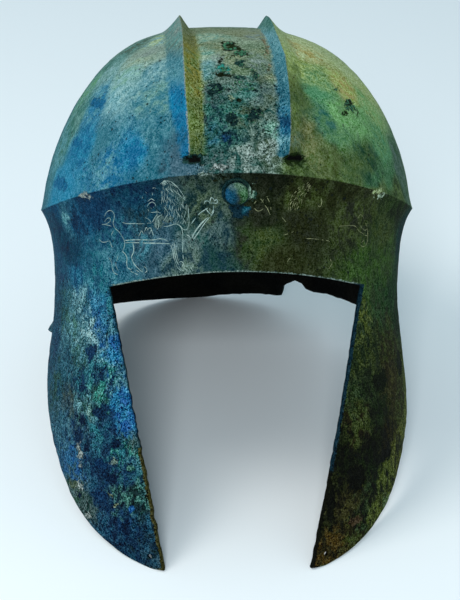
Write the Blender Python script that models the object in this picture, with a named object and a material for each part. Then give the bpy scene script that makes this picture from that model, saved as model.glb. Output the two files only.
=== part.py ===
"""Illyrian helmet: one bronze sheet hammered into bowl, brow band, cheek guards and neck guard, with a knob riveted
to the brow.

The sheet is laid out in its wearing frame: metres, +Z up, the face towards -Y, and Z = 0 at the side ends of the neck
guard's rim. Only the wearer's left half (+X) is drawn, and mirrored. The finished helmet is then leaned back until
both cheek tips and the neck guard's rim stand on the ground, which is how such a helmet rests by itself.

A point of the sheet is found by its turn: 0 at the middle of the brow, 90 degrees at the ear, 180 at the nape.
"""

import math

import bmesh
import bpy
from mathutils import Matrix, Vector

MM = 0.001

# Sheet bronze: thin over the bowl, left thicker along every free edge.
WALL = 1.6 * MM
EDGE_WALL = 3.0 * MM
EDGE_REACH = 9 * MM

# Carination: the sharp fold that parts the bowl from the walls below it.
HALF_WIDTH = 98 * MM
FRONT_DEPTH = 118 * MM
BACK_DEPTH = 120 * MM
FOLD_SIDE_Z = 65.4 * MM
FOLD_BROW_RISE = 29.6 * MM
FOLD_NAPE_DROP = 4 * MM
FOLD_ARCH = 1.5

# Bowl: a full, slightly shouldered dome that kicks out again just above the fold.
CROWN_Z = 161 * MM
BOWL_FULLNESS = 2.75
BOWL_SHOULDER = 0.625
BOWL_INSET = 1.4 * MM
KICK_HEIGHT = 4 * MM

# Crest ridges: a pair of hollow fins, steep towards the channel between them and hollow-flanked outside.
RIDGE_FOOT_IN = 18.2 * MM
RIDGE_CREST = 22.7 * MM
RIDGE_FOOT_OUT = 33 * MM
RIDGE_HEIGHT = 7 * MM
RIDGE_FLANK = 1.6
RIDGE_LOW_END = 0.105
RIDGE_FULL_FROM = 0.14

# Waist: below the fold the wall draws in quickly and then runs straight down.
WAIST_INSET = 7.2 * MM
WAIST_DRAW = 11 * MM

# Face opening: a low arch over the brow between two square corners, then straight cheek edges.
BROW_Z = 47.9 * MM
BROW_CORNER_Z = 36.3 * MM
CHEEK_FRONT_X = 55.5 * MM
CHEEK_FRONT_SLOPE = 0.199

# Cheek guards: the rear edge runs straight down and forward, and rounds under into a blunt tip.
CHEEK_TIP_Z = -97.6 * MM
CHEEK_REAR_Y = 5 * MM
CHEEK_REAR_RUN = 112 * MM
CHEEK_REAR_STRAIGHT = 0.8
CHEEK_REAR_ROUND = 6
CHEEK_SPREAD = 7 * MM
CHEEK_SPREAD_FROM_Z = 30 * MM
CHEEK_SPREAD_HEIGHT = 75 * MM

# Neck guard: the wall flares out over its last centimetres, least behind the ears and most at the nape.
NECK_FLARE_FROM_Z = 32 * MM
NECK_FLARE_EAR = 4 * MM
NECK_FLARE_NAPE = 24 * MM
NECK_FLARE_CURVE = 1.7
NECK_DIP = 3.4 * MM

# Tie holes in the cheek tips.
TIE_HOLE_R = 1.1 * MM
TIE_HOLE_X = 43 * MM
TIE_HOLE_Z = -91.5 * MM

# Brow knob: a turned rivet a little off the middle, with its head outside, a shank through the sheet and a spread
# tail inside.
KNOB_X = -2.6 * MM
KNOB_Z = 86.5 * MM
KNOB_R = 5.4 * MM
KNOB_COLLAR_R = 6.9 * MM
KNOB_COLLAR = 1.2 * MM
KNOB_COLLAR_DISH = 1.1 * MM
KNOB_NECK_R = 4.4 * MM
KNOB_HEIGHT = 10.2 * MM
SHANK_R = 1.9 * MM
TAIL_R = 3.4 * MM
TAIL = 1.0 * MM
GAP = 0.3 * MM

# Break in the neck guard's rim, on the wearer's left: how far across it is, and how much of the rim is gone there.
BREAK = (
    ("across", "missing"),
    (-12 * MM, -3 * MM),
    (-9 * MM, 0 * MM),
    (-2 * MM, 1 * MM),
    (4.5 * MM, 2.1 * MM),
    (11 * MM, 2.8 * MM),
    (22 * MM, 3.6 * MM),
    (33 * MM, 3.4 * MM),
    (39 * MM, 3.2 * MM),
    (42 * MM, 4.3 * MM),
    (43 * MM, 9.4 * MM),
    (45.5 * MM, 11.5 * MM),
    (52.5 * MM, 14.8 * MM),
    (56 * MM, 12.7 * MM),
    (57 * MM, 9.6 * MM),
    (60.5 * MM, 7.9 * MM),
    (68 * MM, 7.7 * MM),
    (73 * MM, 6.4 * MM),
    (80.5 * MM, 5.1 * MM),
    (86 * MM, 3.6 * MM),
    (92 * MM, -2 * MM),
)

# How far the ground's plane reaches into the contact points, which leaves each a small worn flat.
WORN_FLAT = 0.5 * MM

# Mesh spacing: lines across half the crest strip, and rows and columns of the rest.
STRIP_X = tuple(x * MM for x in (0, 6, 12, 18.2, 22.7, 26, 33, 37))
BROW_COLUMNS = 3
CHEEK_COLUMNS = 8
NECK_COLUMNS = 9
RING_LEVELS = (0.0, 0.04, RIDGE_LOW_END, RIDGE_FULL_FROM, 0.22, 0.344)
SHOULDER_STEPS = 5
BAND_ROWS = (0.1, 0.26, 0.48, 0.74, 1.0)
JAW_ROWS = (0.2, 0.4, 0.6, 0.8, 1.0)
TIP_ROWS = (0.11, 0.22, 0.33, 0.43, 0.53, 0.62, 0.7, 0.78, 0.85, 0.905, 0.95, 0.98, 1.0)

BRONZE_BLUE = (0.05, 0.16, 0.19, 1.0)
KNOB_GREEN = (0.10, 0.22, 0.17, 1.0)


def smooth(value):
    """0 below 0, 1 above 1, and an even S between them."""
    held = min(max(value, 0.0), 1.0)
    return held * held * (3 - 2 * held)


def fold_z(turn):
    """Height of the carination, arched up over the brow and a little lower at the nape."""
    ahead = math.cos(turn)
    reach = FOLD_BROW_RISE if ahead > 0 else -FOLD_NAPE_DROP
    return FOLD_SIDE_Z + reach * abs(ahead) ** FOLD_ARCH


def depth(ahead):
    """Half the fold's length, to the front or to the back."""
    return FRONT_DEPTH if ahead else BACK_DEPTH


def brow_turn(z):
    """Turn of the face opening's side edge at this height."""
    half = CHEEK_FRONT_X + CHEEK_FRONT_SLOPE * z
    return math.asin(half / (HALF_WIDTH - wall_inset(math.radians(40), z, True)))


def rear_turn(z):
    """Turn of the cheek guard's rear edge at this height, from the neck guard's rim down to the tip."""
    down = z / CHEEK_TIP_Z
    run = CHEEK_REAR_STRAIGHT * down + (1 - CHEEK_REAR_STRAIGHT) * down**CHEEK_REAR_ROUND
    y = CHEEK_REAR_Y - CHEEK_REAR_RUN * run
    inset = wall_inset(math.radians(60), z, True)
    return math.acos(-y / (depth(y < 0) - inset))


def wall_inset(turn, z, cheek):
    """How far the wall below the fold stands in from it, at this height."""
    inset = WAIST_INSET * (1 - math.exp(-max(fold_z(turn) - z, 0.0) / WAIST_DRAW))
    if cheek:
        return inset - CHEEK_SPREAD * smooth((CHEEK_SPREAD_FROM_Z - z) / CHEEK_SPREAD_HEIGHT)
    towards_nape = (turn - NECK_TURN) / (math.pi - NECK_TURN)
    flare = NECK_FLARE_EAR * smooth(4 * towards_nape)
    flare += (NECK_FLARE_NAPE - NECK_FLARE_EAR) * smooth(towards_nape)
    low = max(NECK_FLARE_FROM_Z - z, 0.0) / NECK_FLARE_FROM_Z
    cheek_side = CHEEK_SPREAD * smooth((CHEEK_SPREAD_FROM_Z - z) / CHEEK_SPREAD_HEIGHT)
    return inset - flare * low**NECK_FLARE_CURVE - cheek_side * (1 - smooth(4 * towards_nape))


def wall_point(turn, z, cheek):
    inset = wall_inset(turn, z, cheek)
    x = (HALF_WIDTH - inset) * math.sin(turn)
    y = -(depth(turn < math.pi / 2) - inset) * math.cos(turn)
    return Vector((x, y, z))


def bowl_reach(height):
    """Share of the fold's width that the bowl still has at this share of its height."""
    return (1 - height ** (1 / BOWL_SHOULDER)) ** (1 / BOWL_FULLNESS)


def bowl_height(x, y):
    """(height share, height) of the bowl over this place in its plan."""
    across, along = x / HALF_WIDTH, -y / depth(y < 0)
    reach = min(math.hypot(across, along), 1.0)
    height = (1 - reach**BOWL_FULLNESS) ** BOWL_SHOULDER
    base = fold_z(math.atan2(across, along))
    return height, base + (CROWN_Z - base) * height


def ridge_profile(x):
    """Height of the crest ridge across the helmet."""
    if RIDGE_FOOT_IN < x <= RIDGE_CREST:
        return RIDGE_HEIGHT * (x - RIDGE_FOOT_IN) / (RIDGE_CREST - RIDGE_FOOT_IN)
    if RIDGE_CREST < x < RIDGE_FOOT_OUT:
        return RIDGE_HEIGHT * ((RIDGE_FOOT_OUT - x) / (RIDGE_FOOT_OUT - RIDGE_CREST)) ** RIDGE_FLANK
    return 0.0


def bowl_point(x, y):
    """A point of the bowl, with the kick at its foot and the crest ridges lifted square to its side outline."""
    height, z = bowl_height(x, y)
    step = 0.2 * MM
    slope = (bowl_height(x, y + step)[1] - bowl_height(x, y - step)[1]) / (2 * step)
    base = fold_z(math.atan2(x / HALF_WIDTH, -y / depth(y < 0)))
    inset = BOWL_INSET * (1 - math.exp(-(z - base) / KICK_HEIGHT))
    shrink = 1 - inset / HALF_WIDTH
    point = Vector((x * shrink, y * shrink, z))
    full = smooth((height - RIDGE_LOW_END) / (RIDGE_FULL_FROM - RIDGE_LOW_END))
    out = Vector((0, -slope, 1)).normalized()
    return point + out * ridge_profile(x) * full


NECK_TURN = math.acos(-CHEEK_REAR_Y / (BACK_DEPTH - WAIST_INSET))


class Sheet:
    """The outer face of half the helmet, as a mesh of rows that share their end points."""

    def __init__(self):
        self.mesh = bmesh.new()

    def vert(self, point):
        return self.mesh.verts.new(point)

    def fill(self, rows):
        """Faces between neighbouring rows. Where a row has repeated points the face is a triangle."""
        for upper, lower in zip(rows, rows[1:]):
            for i in range(len(upper) - 1):
                ring = [upper[i], upper[i + 1], lower[i + 1], lower[i]]
                corners = [v for k, v in enumerate(ring) if v not in ring[:k]]
                if len(corners) > 2:
                    self.mesh.faces.new(corners)


def column_shares():
    """Where the columns between the two crest strips stand on the fold, as turns."""
    edge = math.asin(STRIP_X[-1] / HALF_WIDTH)
    corner = brow_turn(BROW_CORNER_Z)
    stops = ((edge, corner, BROW_COLUMNS), (corner, NECK_TURN, CHEEK_COLUMNS), (NECK_TURN, math.pi - edge, NECK_COLUMNS))
    turns = [edge]
    for start, end, count in stops:
        turns += [start + (end - start) * k / count for k in range(1, count + 1)]
    return turns


def bowl_rings(sheet, turns):
    """Rings of points from the fold up to the shoulder. Each runs from the brow's middle round to the nape's."""
    rings = []
    for height in RING_LEVELS:
        reach = bowl_reach(height)
        low_edge = math.asin(STRIP_X[-1] / HALF_WIDTH)
        edge = math.asin(STRIP_X[-1] / (HALF_WIDTH * reach))
        places = [(x, -FRONT_DEPTH * math.sqrt(reach**2 - (x / HALF_WIDTH) ** 2)) for x in STRIP_X]
        for turn in turns[1:-1]:
            share = (turn - low_edge) / (math.pi - 2 * low_edge)
            here = edge + share * (math.pi - 2 * edge)
            along = math.cos(here)
            places.append((HALF_WIDTH * reach * math.sin(here), -depth(along > 0) * reach * along))
        places += [
            (x, BACK_DEPTH * math.sqrt(reach**2 - (x / HALF_WIDTH) ** 2)) for x in reversed(STRIP_X)
        ]
        if height == 0:
            points = [Vector((x, y, fold_z(math.atan2(x / HALF_WIDTH, -y / depth(y < 0))))) for x, y in places]
        else:
            points = [bowl_point(x, y) for x, y in places]
        rings.append([sheet.vert(p) for p in points])
        rings[-1][0].co.x = rings[-1][-1].co.x = 0
    return rings, places


def crown_rows(sheet, top_ring, places, turns):
    """Rows across the crown: the crest strip at fixed distances from the middle, then out to the shoulder ring."""
    strip = len(STRIP_X)
    rows = [top_ring[:strip] + [top_ring[strip - 1]] * SHOULDER_STEPS]
    count = len(turns) - 1
    for j in range(1, count):
        along = 0.55 * math.cos(math.pi * j / count) + 0.45 * (1 - 2 * j / count)
        row = []
        for i, x in enumerate(STRIP_X):
            y_front, y_back = places[i][1], places[-1 - i][1]
            y = -along * abs(y_front if along > 0 else y_back)
            row.append(sheet.vert(bowl_point(x, y)))
        side = places[strip - 1 + j]
        across = [x / HALF_WIDTH, side[0] / HALF_WIDTH]
        lengthwise = [-y / depth(y < 0), -side[1] / depth(side[1] < 0)]
        reach = [math.hypot(a, b) for a, b in zip(across, lengthwise)]
        turn = [math.atan2(a, b) for a, b in zip(across, lengthwise)]
        for m in range(1, SHOULDER_STEPS):
            share = m / SHOULDER_STEPS
            here = turn[0] + (turn[1] - turn[0]) * share
            out = reach[0] + (reach[1] - reach[0]) * share
            ahead = math.cos(here)
            row.append(sheet.vert(bowl_point(HALF_WIDTH * out * math.sin(here), -depth(ahead > 0) * out * ahead)))
        row.append(top_ring[strip - 1 + j])
        row[0].co.x = 0
        rows.append(row)
    rows.append(top_ring[: -strip - 1 : -1] + [top_ring[-strip]] * SHOULDER_STEPS)
    return rows


def wall_rows(sheet, fold_ring):
    """Rows of the wall: right round down to the brow's corners, on down to the neck rim, then the cheek guard."""
    strip = len(STRIP_X)
    corner = strip - 1 + BROW_COLUMNS
    ear = corner + CHEEK_COLUMNS
    turns = [math.atan2(v.co.x / HALF_WIDTH, -v.co.y / depth(v.co.y < 0)) for v in fold_ring]
    corner_turn = turns[corner]
    band = [fold_ring]
    for share in BAND_ROWS:
        row = []
        for i, turn in enumerate(turns):
            arch = max(1 - (math.sin(turn) / math.sin(corner_turn)) ** 2, 0) if i < corner else 0
            low = BROW_CORNER_Z + (BROW_Z - BROW_CORNER_Z) * arch
            z = fold_z(turn) + (low - fold_z(turn)) * share
            row.append(sheet.vert(wall_point(turn, z, i < ear)))
        row[0].co.x = row[-1].co.x = 0
        band.append(row)
    jaw = [band[-1][corner:]]
    for share in JAW_ROWS:
        row = []
        for i, turn in enumerate(turns[corner:], corner):
            towards_nape = max(turn - NECK_TURN, 0) / (math.pi - NECK_TURN)
            z = BROW_CORNER_Z * (1 - share) - NECK_DIP * share * smooth(towards_nape)
            if i < ear:
                front = brow_turn(z)
                turn = front + (NECK_TURN - front) * (i - corner) / CHEEK_COLUMNS
            row.append(sheet.vert(wall_point(turn, z, i < ear)))
        row[-1].co.x = 0
        jaw.append(row)
    cheek = [jaw[-1][: CHEEK_COLUMNS + 1]]
    for share in TIP_ROWS:
        z = CHEEK_TIP_Z * share
        front, rear = brow_turn(z), rear_turn(z)
        cheek.append(
            [
                sheet.vert(wall_point(front + (rear - front) * i / CHEEK_COLUMNS, z, True))
                for i in range(CHEEK_COLUMNS + 1)
            ]
        )
    return band, jaw, cheek


def thicken_edges(shell):
    """Weights that leave the sheet thick along its free edges and thin it out over EDGE_REACH."""
    sheet = bmesh.new()
    sheet.from_mesh(shell.data)
    free = [v.co.copy() for v in sheet.verts if v.is_boundary and abs(v.co.x) > 1e-6]
    free += [v.co.copy() for v in sheet.verts if v.is_boundary and v.co.z < BROW_Z + 1e-6]
    group = shell.vertex_groups.new(name="free_edge")
    for v in sheet.verts:
        nearest = min((v.co - p).length for p in free)
        group.add([v.index], 1 - smooth(nearest / EDGE_REACH), "REPLACE")
    sheet.free()


def finish_material(name, colour, roughness, metallic):
    material = bpy.data.materials.new(name)
    material.use_nodes = True
    principled = material.node_tree.nodes["Principled BSDF"]
    principled.inputs["Base Color"].default_value = colour
    principled.inputs["Roughness"].default_value = roughness
    principled.inputs["Metallic"].default_value = metallic
    material.diffuse_color = colour
    return material


def add_object(name, mesh, material=None):
    obj = bpy.data.objects.new(name, mesh)
    bpy.context.scene.collection.objects.link(obj)
    if material:
        mesh.materials.append(material)
    return obj


def make_shell():
    """The hammered sheet with its real thickness, still in the wearing frame and without its holes."""
    sheet = Sheet()
    turns = column_shares()
    rings, places = bowl_rings(sheet, turns)
    band, jaw, cheek = wall_rows(sheet, rings[0])
    for rows in (rings, crown_rows(sheet, rings[-1], places, turns), band, jaw, cheek):
        sheet.fill(rows)
    bmesh.ops.recalc_face_normals(sheet.mesh, faces=sheet.mesh.faces)
    crown = max(sheet.mesh.faces, key=lambda f: f.calc_center_median().z)
    if crown.normal.z < 0:
        bmesh.ops.reverse_faces(sheet.mesh, faces=sheet.mesh.faces)
    mesh = bpy.data.meshes.new("helmet_shell")
    sheet.mesh.to_mesh(mesh)
    sheet.mesh.free()
    shell = add_object("helmet_shell", mesh, finish_material("bronze_sheet", BRONZE_BLUE, 0.6, 0.3))
    thicken_edges(shell)
    mirror = shell.modifiers.new("both_halves", "MIRROR")
    mirror.merge_threshold = 0.00005
    wall = shell.modifiers.new("wall", "SOLIDIFY")
    wall.thickness = EDGE_WALL
    wall.offset = -1
    wall.vertex_group = "free_edge"
    wall.thickness_vertex_group = WALL / EDGE_WALL
    wall.use_even_offset = True
    return shell


def brow_frame():
    """Where the knob's axis leaves the brow band: X across, Z out of the sheet."""
    inset = wall_inset(0.0, KNOB_Z, True)
    foot = wall_point(math.asin(KNOB_X / (HALF_WIDTH - inset)), KNOB_Z, True)
    lean = (wall_inset(0.0, KNOB_Z - MM, True) - inset) / MM
    out = Vector((0, -1, -lean)).normalized()
    across = Vector((1, 0, 0))
    turned = Matrix((across, out.cross(across), out)).transposed().to_4x4()
    return Matrix.Translation(foot) @ turned


def make_knob():
    """The brow knob, turned about its own axis: (radius, height above the sheet's outer face)."""
    seat, inside = 1.5 * GAP, -WALL - 1.5 * GAP
    outline = [
        (0.0, KNOB_HEIGHT),
        *((KNOB_R * math.sin(a), KNOB_HEIGHT - KNOB_R * (1 - math.cos(a))) for a in (0.4, 0.8, 1.2, 1.57, 1.95)),
        (KNOB_NECK_R, seat + KNOB_COLLAR),
        (KNOB_COLLAR_R - 0.6 * MM, seat + KNOB_COLLAR_DISH + 0.7 * KNOB_COLLAR),
        (KNOB_COLLAR_R, seat + KNOB_COLLAR_DISH + 0.3 * KNOB_COLLAR),
        (KNOB_COLLAR_R, seat + KNOB_COLLAR_DISH),
        (SHANK_R, seat),
        (SHANK_R, inside),
        (TAIL_R, inside),
        (TAIL_R * 0.8, inside - 0.7 * TAIL),
        (0.0, inside - TAIL),
    ]
    turned = bmesh.new()
    points = [turned.verts.new((r, 0, z)) for r, z in outline]
    edges = [turned.edges.new(pair) for pair in zip(points, points[1:])]
    steps = 28
    bmesh.ops.spin(turned, geom=points + edges, axis=(0, 0, 1), cent=(0, 0, 0), angle=2 * math.pi, steps=steps)
    bmesh.ops.remove_doubles(turned, verts=turned.verts, dist=0.00001)
    bmesh.ops.recalc_face_normals(turned, faces=turned.faces)
    mesh = bpy.data.meshes.new("brow_knob")
    turned.to_mesh(mesh)
    turned.free()
    return add_object("brow_knob", mesh, finish_material("bronze_knob", KNOB_GREEN, 0.55, 0.3))


def rod(name, radius, frame, length=30 * MM):
    """A cutter: a round rod along the frame's Z, centred on its origin."""
    shape = bmesh.new()
    bmesh.ops.create_cone(shape, segments=16, radius1=radius, radius2=radius, depth=length, cap_ends=True)
    shape.transform(frame)
    mesh = bpy.data.meshes.new(name)
    shape.to_mesh(mesh)
    shape.free()
    return as_cutter(add_object(name, mesh))


def as_cutter(obj):
    obj.hide_render = True
    obj.display_type = "WIRE"
    return obj


def tie_hole_frame(side):
    """Where the tie hole's axis leaves the cheek tip on this side, -1 or 1."""
    inset = wall_inset(math.radians(25), TIE_HOLE_Z, True)
    turn = math.asin(TIE_HOLE_X / (HALF_WIDTH - inset))
    step = math.radians(1)
    here = wall_point(turn, TIE_HOLE_Z, True)
    tangent = wall_point(turn + step, TIE_HOLE_Z, True) - here
    out = Vector((side * tangent.y, -tangent.x, 0)).normalized()
    here.x *= side
    return Matrix.Translation(here) @ out.to_track_quat("Z", "Y").to_matrix().to_4x4()


def broken_rim():
    """A cutter whose top is the broken line of the rim: a prism that runs from inside the neck guard out behind it."""
    near, far = 20 * MM, 170 * MM
    line = []
    for across, missing in BREAK[1:]:
        turn = math.pi - math.asin(min(across / HALF_WIDTH, 0.999))
        towards_nape = max(turn - NECK_TURN, 0) / (math.pi - NECK_TURN)
        line.append((across, missing - NECK_DIP * smooth(towards_nape)))
    bottom = -30 * MM
    outline = [(line[0][0], bottom), *line, (line[-1][0], bottom)]
    shape = bmesh.new()
    face = shape.faces.new([shape.verts.new((x, near, z)) for x, z in outline])
    pushed = bmesh.ops.extrude_face_region(shape, geom=[face])
    moved = [v for v in pushed["geom"] if isinstance(v, bmesh.types.BMVert)]
    bmesh.ops.translate(shape, verts=moved, vec=(0, far - near, 0))
    bmesh.ops.recalc_face_normals(shape, faces=shape.faces)
    mesh = bpy.data.meshes.new("broken_rim")
    shape.to_mesh(mesh)
    shape.free()
    return as_cutter(add_object("broken_rim", mesh))


def ground_block():
    """A cutter below the ground's plane."""
    half = 400 * MM
    shape = bmesh.new()
    bmesh.ops.create_cube(shape, size=2 * half, matrix=Matrix.Translation((0, 0, -half)))
    mesh = bpy.data.meshes.new("ground_block")
    shape.to_mesh(mesh)
    shape.free()
    return as_cutter(add_object("ground_block", mesh))


def cut(obj, cutter):
    hole = obj.modifiers.new(cutter.name, "BOOLEAN")
    hole.operation = "DIFFERENCE"
    hole.solver = "EXACT"
    hole.object = cutter


def evaluated_points(obj):
    graph = bpy.context.evaluated_depsgraph_get()
    return [v.co.copy() for v in obj.evaluated_get(graph).data.vertices]


def resting_lean(points):
    """The lean, about X, at which the lowest point of the face side is level with that of the nape side."""
    low, high = math.radians(-40), 0.0
    for _ in range(40):
        lean = (low + high) / 2
        sine, cosine = math.sin(lean), math.cos(lean)
        face = min(p.y * sine + p.z * cosine for p in points if p.y < 0)
        nape = min(p.y * sine + p.z * cosine for p in points if p.y > 0)
        low, high = (lean, high) if nape < face else (low, lean)
    return lean, min(face, nape)


def main():
    for obj in list(bpy.data.objects):
        bpy.data.objects.remove(obj)
    shell = make_shell()
    break_cutter = broken_rim()
    cut(shell, break_cutter)
    points = evaluated_points(shell)
    lean, lowest = resting_lean(points)
    turned = Matrix.Rotation(lean, 4, "X")
    ys = [(turned @ p).y for p in points]
    rest = Matrix.Translation((0, -(min(ys) + max(ys)) / 2, -lowest - WORN_FLAT)) @ turned
    knob = make_knob()
    knob.matrix_world = rest @ brow_frame()
    shell.matrix_world = rest
    break_cutter.matrix_world = rest
    cut(shell, rod("knob_hole", SHANK_R + GAP, rest @ brow_frame()))
    for side, word in ((-1, "right"), (1, "left")):
        cut(shell, rod(f"tie_hole_{word}", TIE_HOLE_R, rest @ tie_hole_frame(side)))
    cut(shell, ground_block())
    for obj in (shell, knob):
        obj.data.shade_smooth()
        obj.data.set_sharp_from_angle(angle=math.radians(35))


main()
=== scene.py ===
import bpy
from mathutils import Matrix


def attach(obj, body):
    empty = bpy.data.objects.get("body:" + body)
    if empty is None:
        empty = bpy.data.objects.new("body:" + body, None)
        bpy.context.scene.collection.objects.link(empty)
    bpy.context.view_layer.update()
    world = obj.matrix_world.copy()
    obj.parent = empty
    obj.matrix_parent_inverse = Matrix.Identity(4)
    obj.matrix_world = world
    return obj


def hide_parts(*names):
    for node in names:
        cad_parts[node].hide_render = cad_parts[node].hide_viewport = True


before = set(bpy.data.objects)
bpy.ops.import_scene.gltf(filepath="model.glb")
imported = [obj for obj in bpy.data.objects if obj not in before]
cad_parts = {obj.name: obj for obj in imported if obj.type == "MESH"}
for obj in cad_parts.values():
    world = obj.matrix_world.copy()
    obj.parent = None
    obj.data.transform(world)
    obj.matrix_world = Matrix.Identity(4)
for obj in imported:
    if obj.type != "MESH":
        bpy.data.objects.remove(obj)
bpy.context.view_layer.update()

import math

import bmesh
import bpy
import numpy as np
from mathutils import Matrix, Vector, noise
from mathutils.bvhtree import BVHTree
from mathutils.kdtree import KDTree

# ---------------------------------------------------------------------------------------------------------
# Helmet shell: one sheet of bronze, hammered up into a bowl with two hollow crest ridges. A sharp fold parts
# the bowl from the brow band, the cheek guards and the flared neck guard. Its free edges were left thick.
# ---------------------------------------------------------------------------------------------------------

# It is drawn as worn: Z = 0 at the side ends of the neck rim, the face towards -Y, the wearer's left at +X.
# A point's turn goes from 0 at the middle of the brow, past the ear at a quarter turn, to pi at the nape.
MM = 0.001

SHEET = 1.6 * MM
EDGE_SHEET = 3.0 * MM
EDGE_REACH = 9 * MM
EDGE_ROUND = 0.55 * MM

HALF_WIDTH = 98 * MM
FRONT_DEPTH = 118 * MM
BACK_DEPTH = 120 * MM
FOLD_SIDE_Z = 65.4 * MM
FOLD_BROW_RISE = 29.6 * MM
FOLD_NAPE_DROP = 4 * MM
FOLD_ARCH = 1.5

CROWN_Z = 161 * MM
BOWL_FULLNESS = 2.75
BOWL_SHOULDER = 0.625
BOWL_INSET = 1.4 * MM
KICK_HEIGHT = 4 * MM

RIDGE_FOOT_IN = 18.2 * MM
RIDGE_CREST = 22.7 * MM
RIDGE_FOOT_OUT = 33 * MM
RIDGE_HEIGHT = 7 * MM
RIDGE_FLANK = 1.6
# Towards the brow the ridges spread: both feet lie further from the crest and the outer flank is straighter.
SPREAD_FOOT_IN = 16.3 * MM
SPREAD_FOOT_OUT = 31.2 * MM
SPREAD_FLANK = 1.15
SPREAD_DEPTH = 60 * MM
RIDGE_LOW_END = 0.105
RIDGE_FULL_FROM = 0.14

WAIST_INSET = 7.2 * MM
WAIST_DRAW = 11 * MM

BROW_Z = 47.9 * MM
BROW_CORNER_Z = 36.3 * MM
CHEEK_FRONT_X = 55.5 * MM
CHEEK_FRONT_SLOPE = 0.199
CHEEK_FRONT_TURN = math.radians(40)
CHEEK_TIP_Z = -97.6 * MM
CHEEK_REAR_Y = 5 * MM
CHEEK_REAR_RUN = 112 * MM
CHEEK_REAR_STRAIGHT = 0.8
CHEEK_REAR_ROUND = 6
CHEEK_REAR_TURN = math.radians(60)
CHEEK_SPREAD = 7 * MM
CHEEK_SPREAD_FROM_Z = 30 * MM
CHEEK_SPREAD_HEIGHT = 75 * MM

NECK_FLARE_FROM_Z = 32 * MM
NECK_FLARE_EAR = 4 * MM
NECK_FLARE_NAPE = 24 * MM
NECK_FLARE_CURVE = 1.7
NECK_DIP = 3.4 * MM
NECK_TURN = math.acos(-CHEEK_REAR_Y / (BACK_DEPTH - WAIST_INSET))

TIE_HOLE_R = 1.1 * MM
TIE_HOLE_X = 43 * MM
TIE_HOLE_Z = -91.5 * MM
KNOB_X = -2.6 * MM
KNOB_Z = 86.5 * MM
RIVET_HOLE_R = 2.2 * MM

# Where the neck rim is broken away: how far across the nape, and how much of the rim is gone, in millimetres.
BROKEN_RIM = (
    ("across", "missing"),
    (-9, 0), (-2, 1), (4.5, 2.1), (11, 2.8), (22, 3.6), (33, 3.4), (39, 3.2), (42, 4.3), (43, 9.4),
    (45.5, 11.5), (52.5, 14.8), (56, 12.7), (57, 9.6), (60.5, 7.9), (68, 7.7), (73, 6.4), (80.5, 5.1),
    (86, 3.6), (91, 0),
)

# The finished helmet leans back until both cheek tips and the neck rim stand on the ground.
LEAN = math.radians(-20.6893)
STANDS_AT = Vector((0, -1.78 * MM, 53.70 * MM))
rest = Matrix.Translation(STANDS_AT) @ Matrix.Rotation(LEAN, 4, "X")

# Spacing of the sheet's mesh, close along the ridges, the fold and the free edges. The crest lines run from
# the brow to the nape, that many millimetres from the middle.
SPACING = 1.6 * MM
CREST_LINES = (
    0, 1.8, 3.6, 5.4, 7.2, 9, 10.7, 12.3, 13.8, 15.2, 16.3, 17.2, 18.2, 19.6, 21.2, 22.3, 22.7, 23.1, 24.2,
    25.8, 27.6, 29.2, 30.4, 31.2, 32, 33.4, 35.2, 37,
)
CREST_X = np.array(CREST_LINES) * MM


def ease(value):
    """0 below 0, 1 above 1, and an even S between them."""
    held = np.clip(value, 0, 1)
    return held * held * (3 - 2 * held)


def rising(value, start, width):
    """0 up to start, easing to 1 that width above it, both in millimetres."""
    return ease((value - start * MM) / (width * MM))


def falling(value, end, width):
    """0 from end up, easing to 1 that width below it, both in millimetres."""
    return ease((end * MM - value) / (width * MM))


def half_depth(ahead):
    """How far the fold reaches from the widest place, forward where ahead is true and otherwise back."""
    return np.where(ahead, FRONT_DEPTH, BACK_DEPTH)


def in_plan(x, y):
    """(across, ahead): where this place lies between the middle and the fold."""
    return x / HALF_WIDTH, -y / half_depth(y < 0)


def turns_of(points):
    return np.arctan2(*in_plan(points[:, 0], points[:, 1]))


def fold_z(turn):
    ahead = np.cos(turn)
    reach = np.where(ahead > 0, FOLD_BROW_RISE, -FOLD_NAPE_DROP)
    return FOLD_SIDE_Z + reach * np.abs(ahead) ** FOLD_ARCH


def wall_inset(turn, z, cheek):
    """How far the wall below the fold stands in from it."""
    inset = WAIST_INSET * (1 - np.exp(-np.maximum(fold_z(turn) - z, 0) / WAIST_DRAW))
    spread = CHEEK_SPREAD * ease((CHEEK_SPREAD_FROM_Z - z) / CHEEK_SPREAD_HEIGHT)
    towards_nape = (turn - NECK_TURN) / (math.pi - NECK_TURN)
    by_ear = ease(4 * towards_nape)
    flare = NECK_FLARE_EAR * by_ear + (NECK_FLARE_NAPE - NECK_FLARE_EAR) * ease(towards_nape)
    low = np.maximum(NECK_FLARE_FROM_Z - z, 0) / NECK_FLARE_FROM_Z
    return inset - np.where(cheek, spread, flare * low**NECK_FLARE_CURVE + spread * (1 - by_ear))


def wall_points(turn, z, cheek):
    inset = wall_inset(turn, z, cheek)
    depth = half_depth(turn < math.pi / 2) - inset
    return np.stack([(HALF_WIDTH - inset) * np.sin(turn), -depth * np.cos(turn), z + 0 * turn], axis=-1)


def front_turn(z):
    """Turn of the face opening's side edge."""
    inset = wall_inset(CHEEK_FRONT_TURN, z, True)
    return np.arcsin((CHEEK_FRONT_X + CHEEK_FRONT_SLOPE * z) / (HALF_WIDTH - inset))


def rear_turn(z):
    """Turn of the cheek guard's rear edge."""
    down = z / CHEEK_TIP_Z
    run = CHEEK_REAR_STRAIGHT * down + (1 - CHEEK_REAR_STRAIGHT) * down**CHEEK_REAR_ROUND
    y = CHEEK_REAR_Y - CHEEK_REAR_RUN * run
    return np.arccos(-y / (half_depth(y < 0) - wall_inset(CHEEK_REAR_TURN, z, True)))


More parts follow.
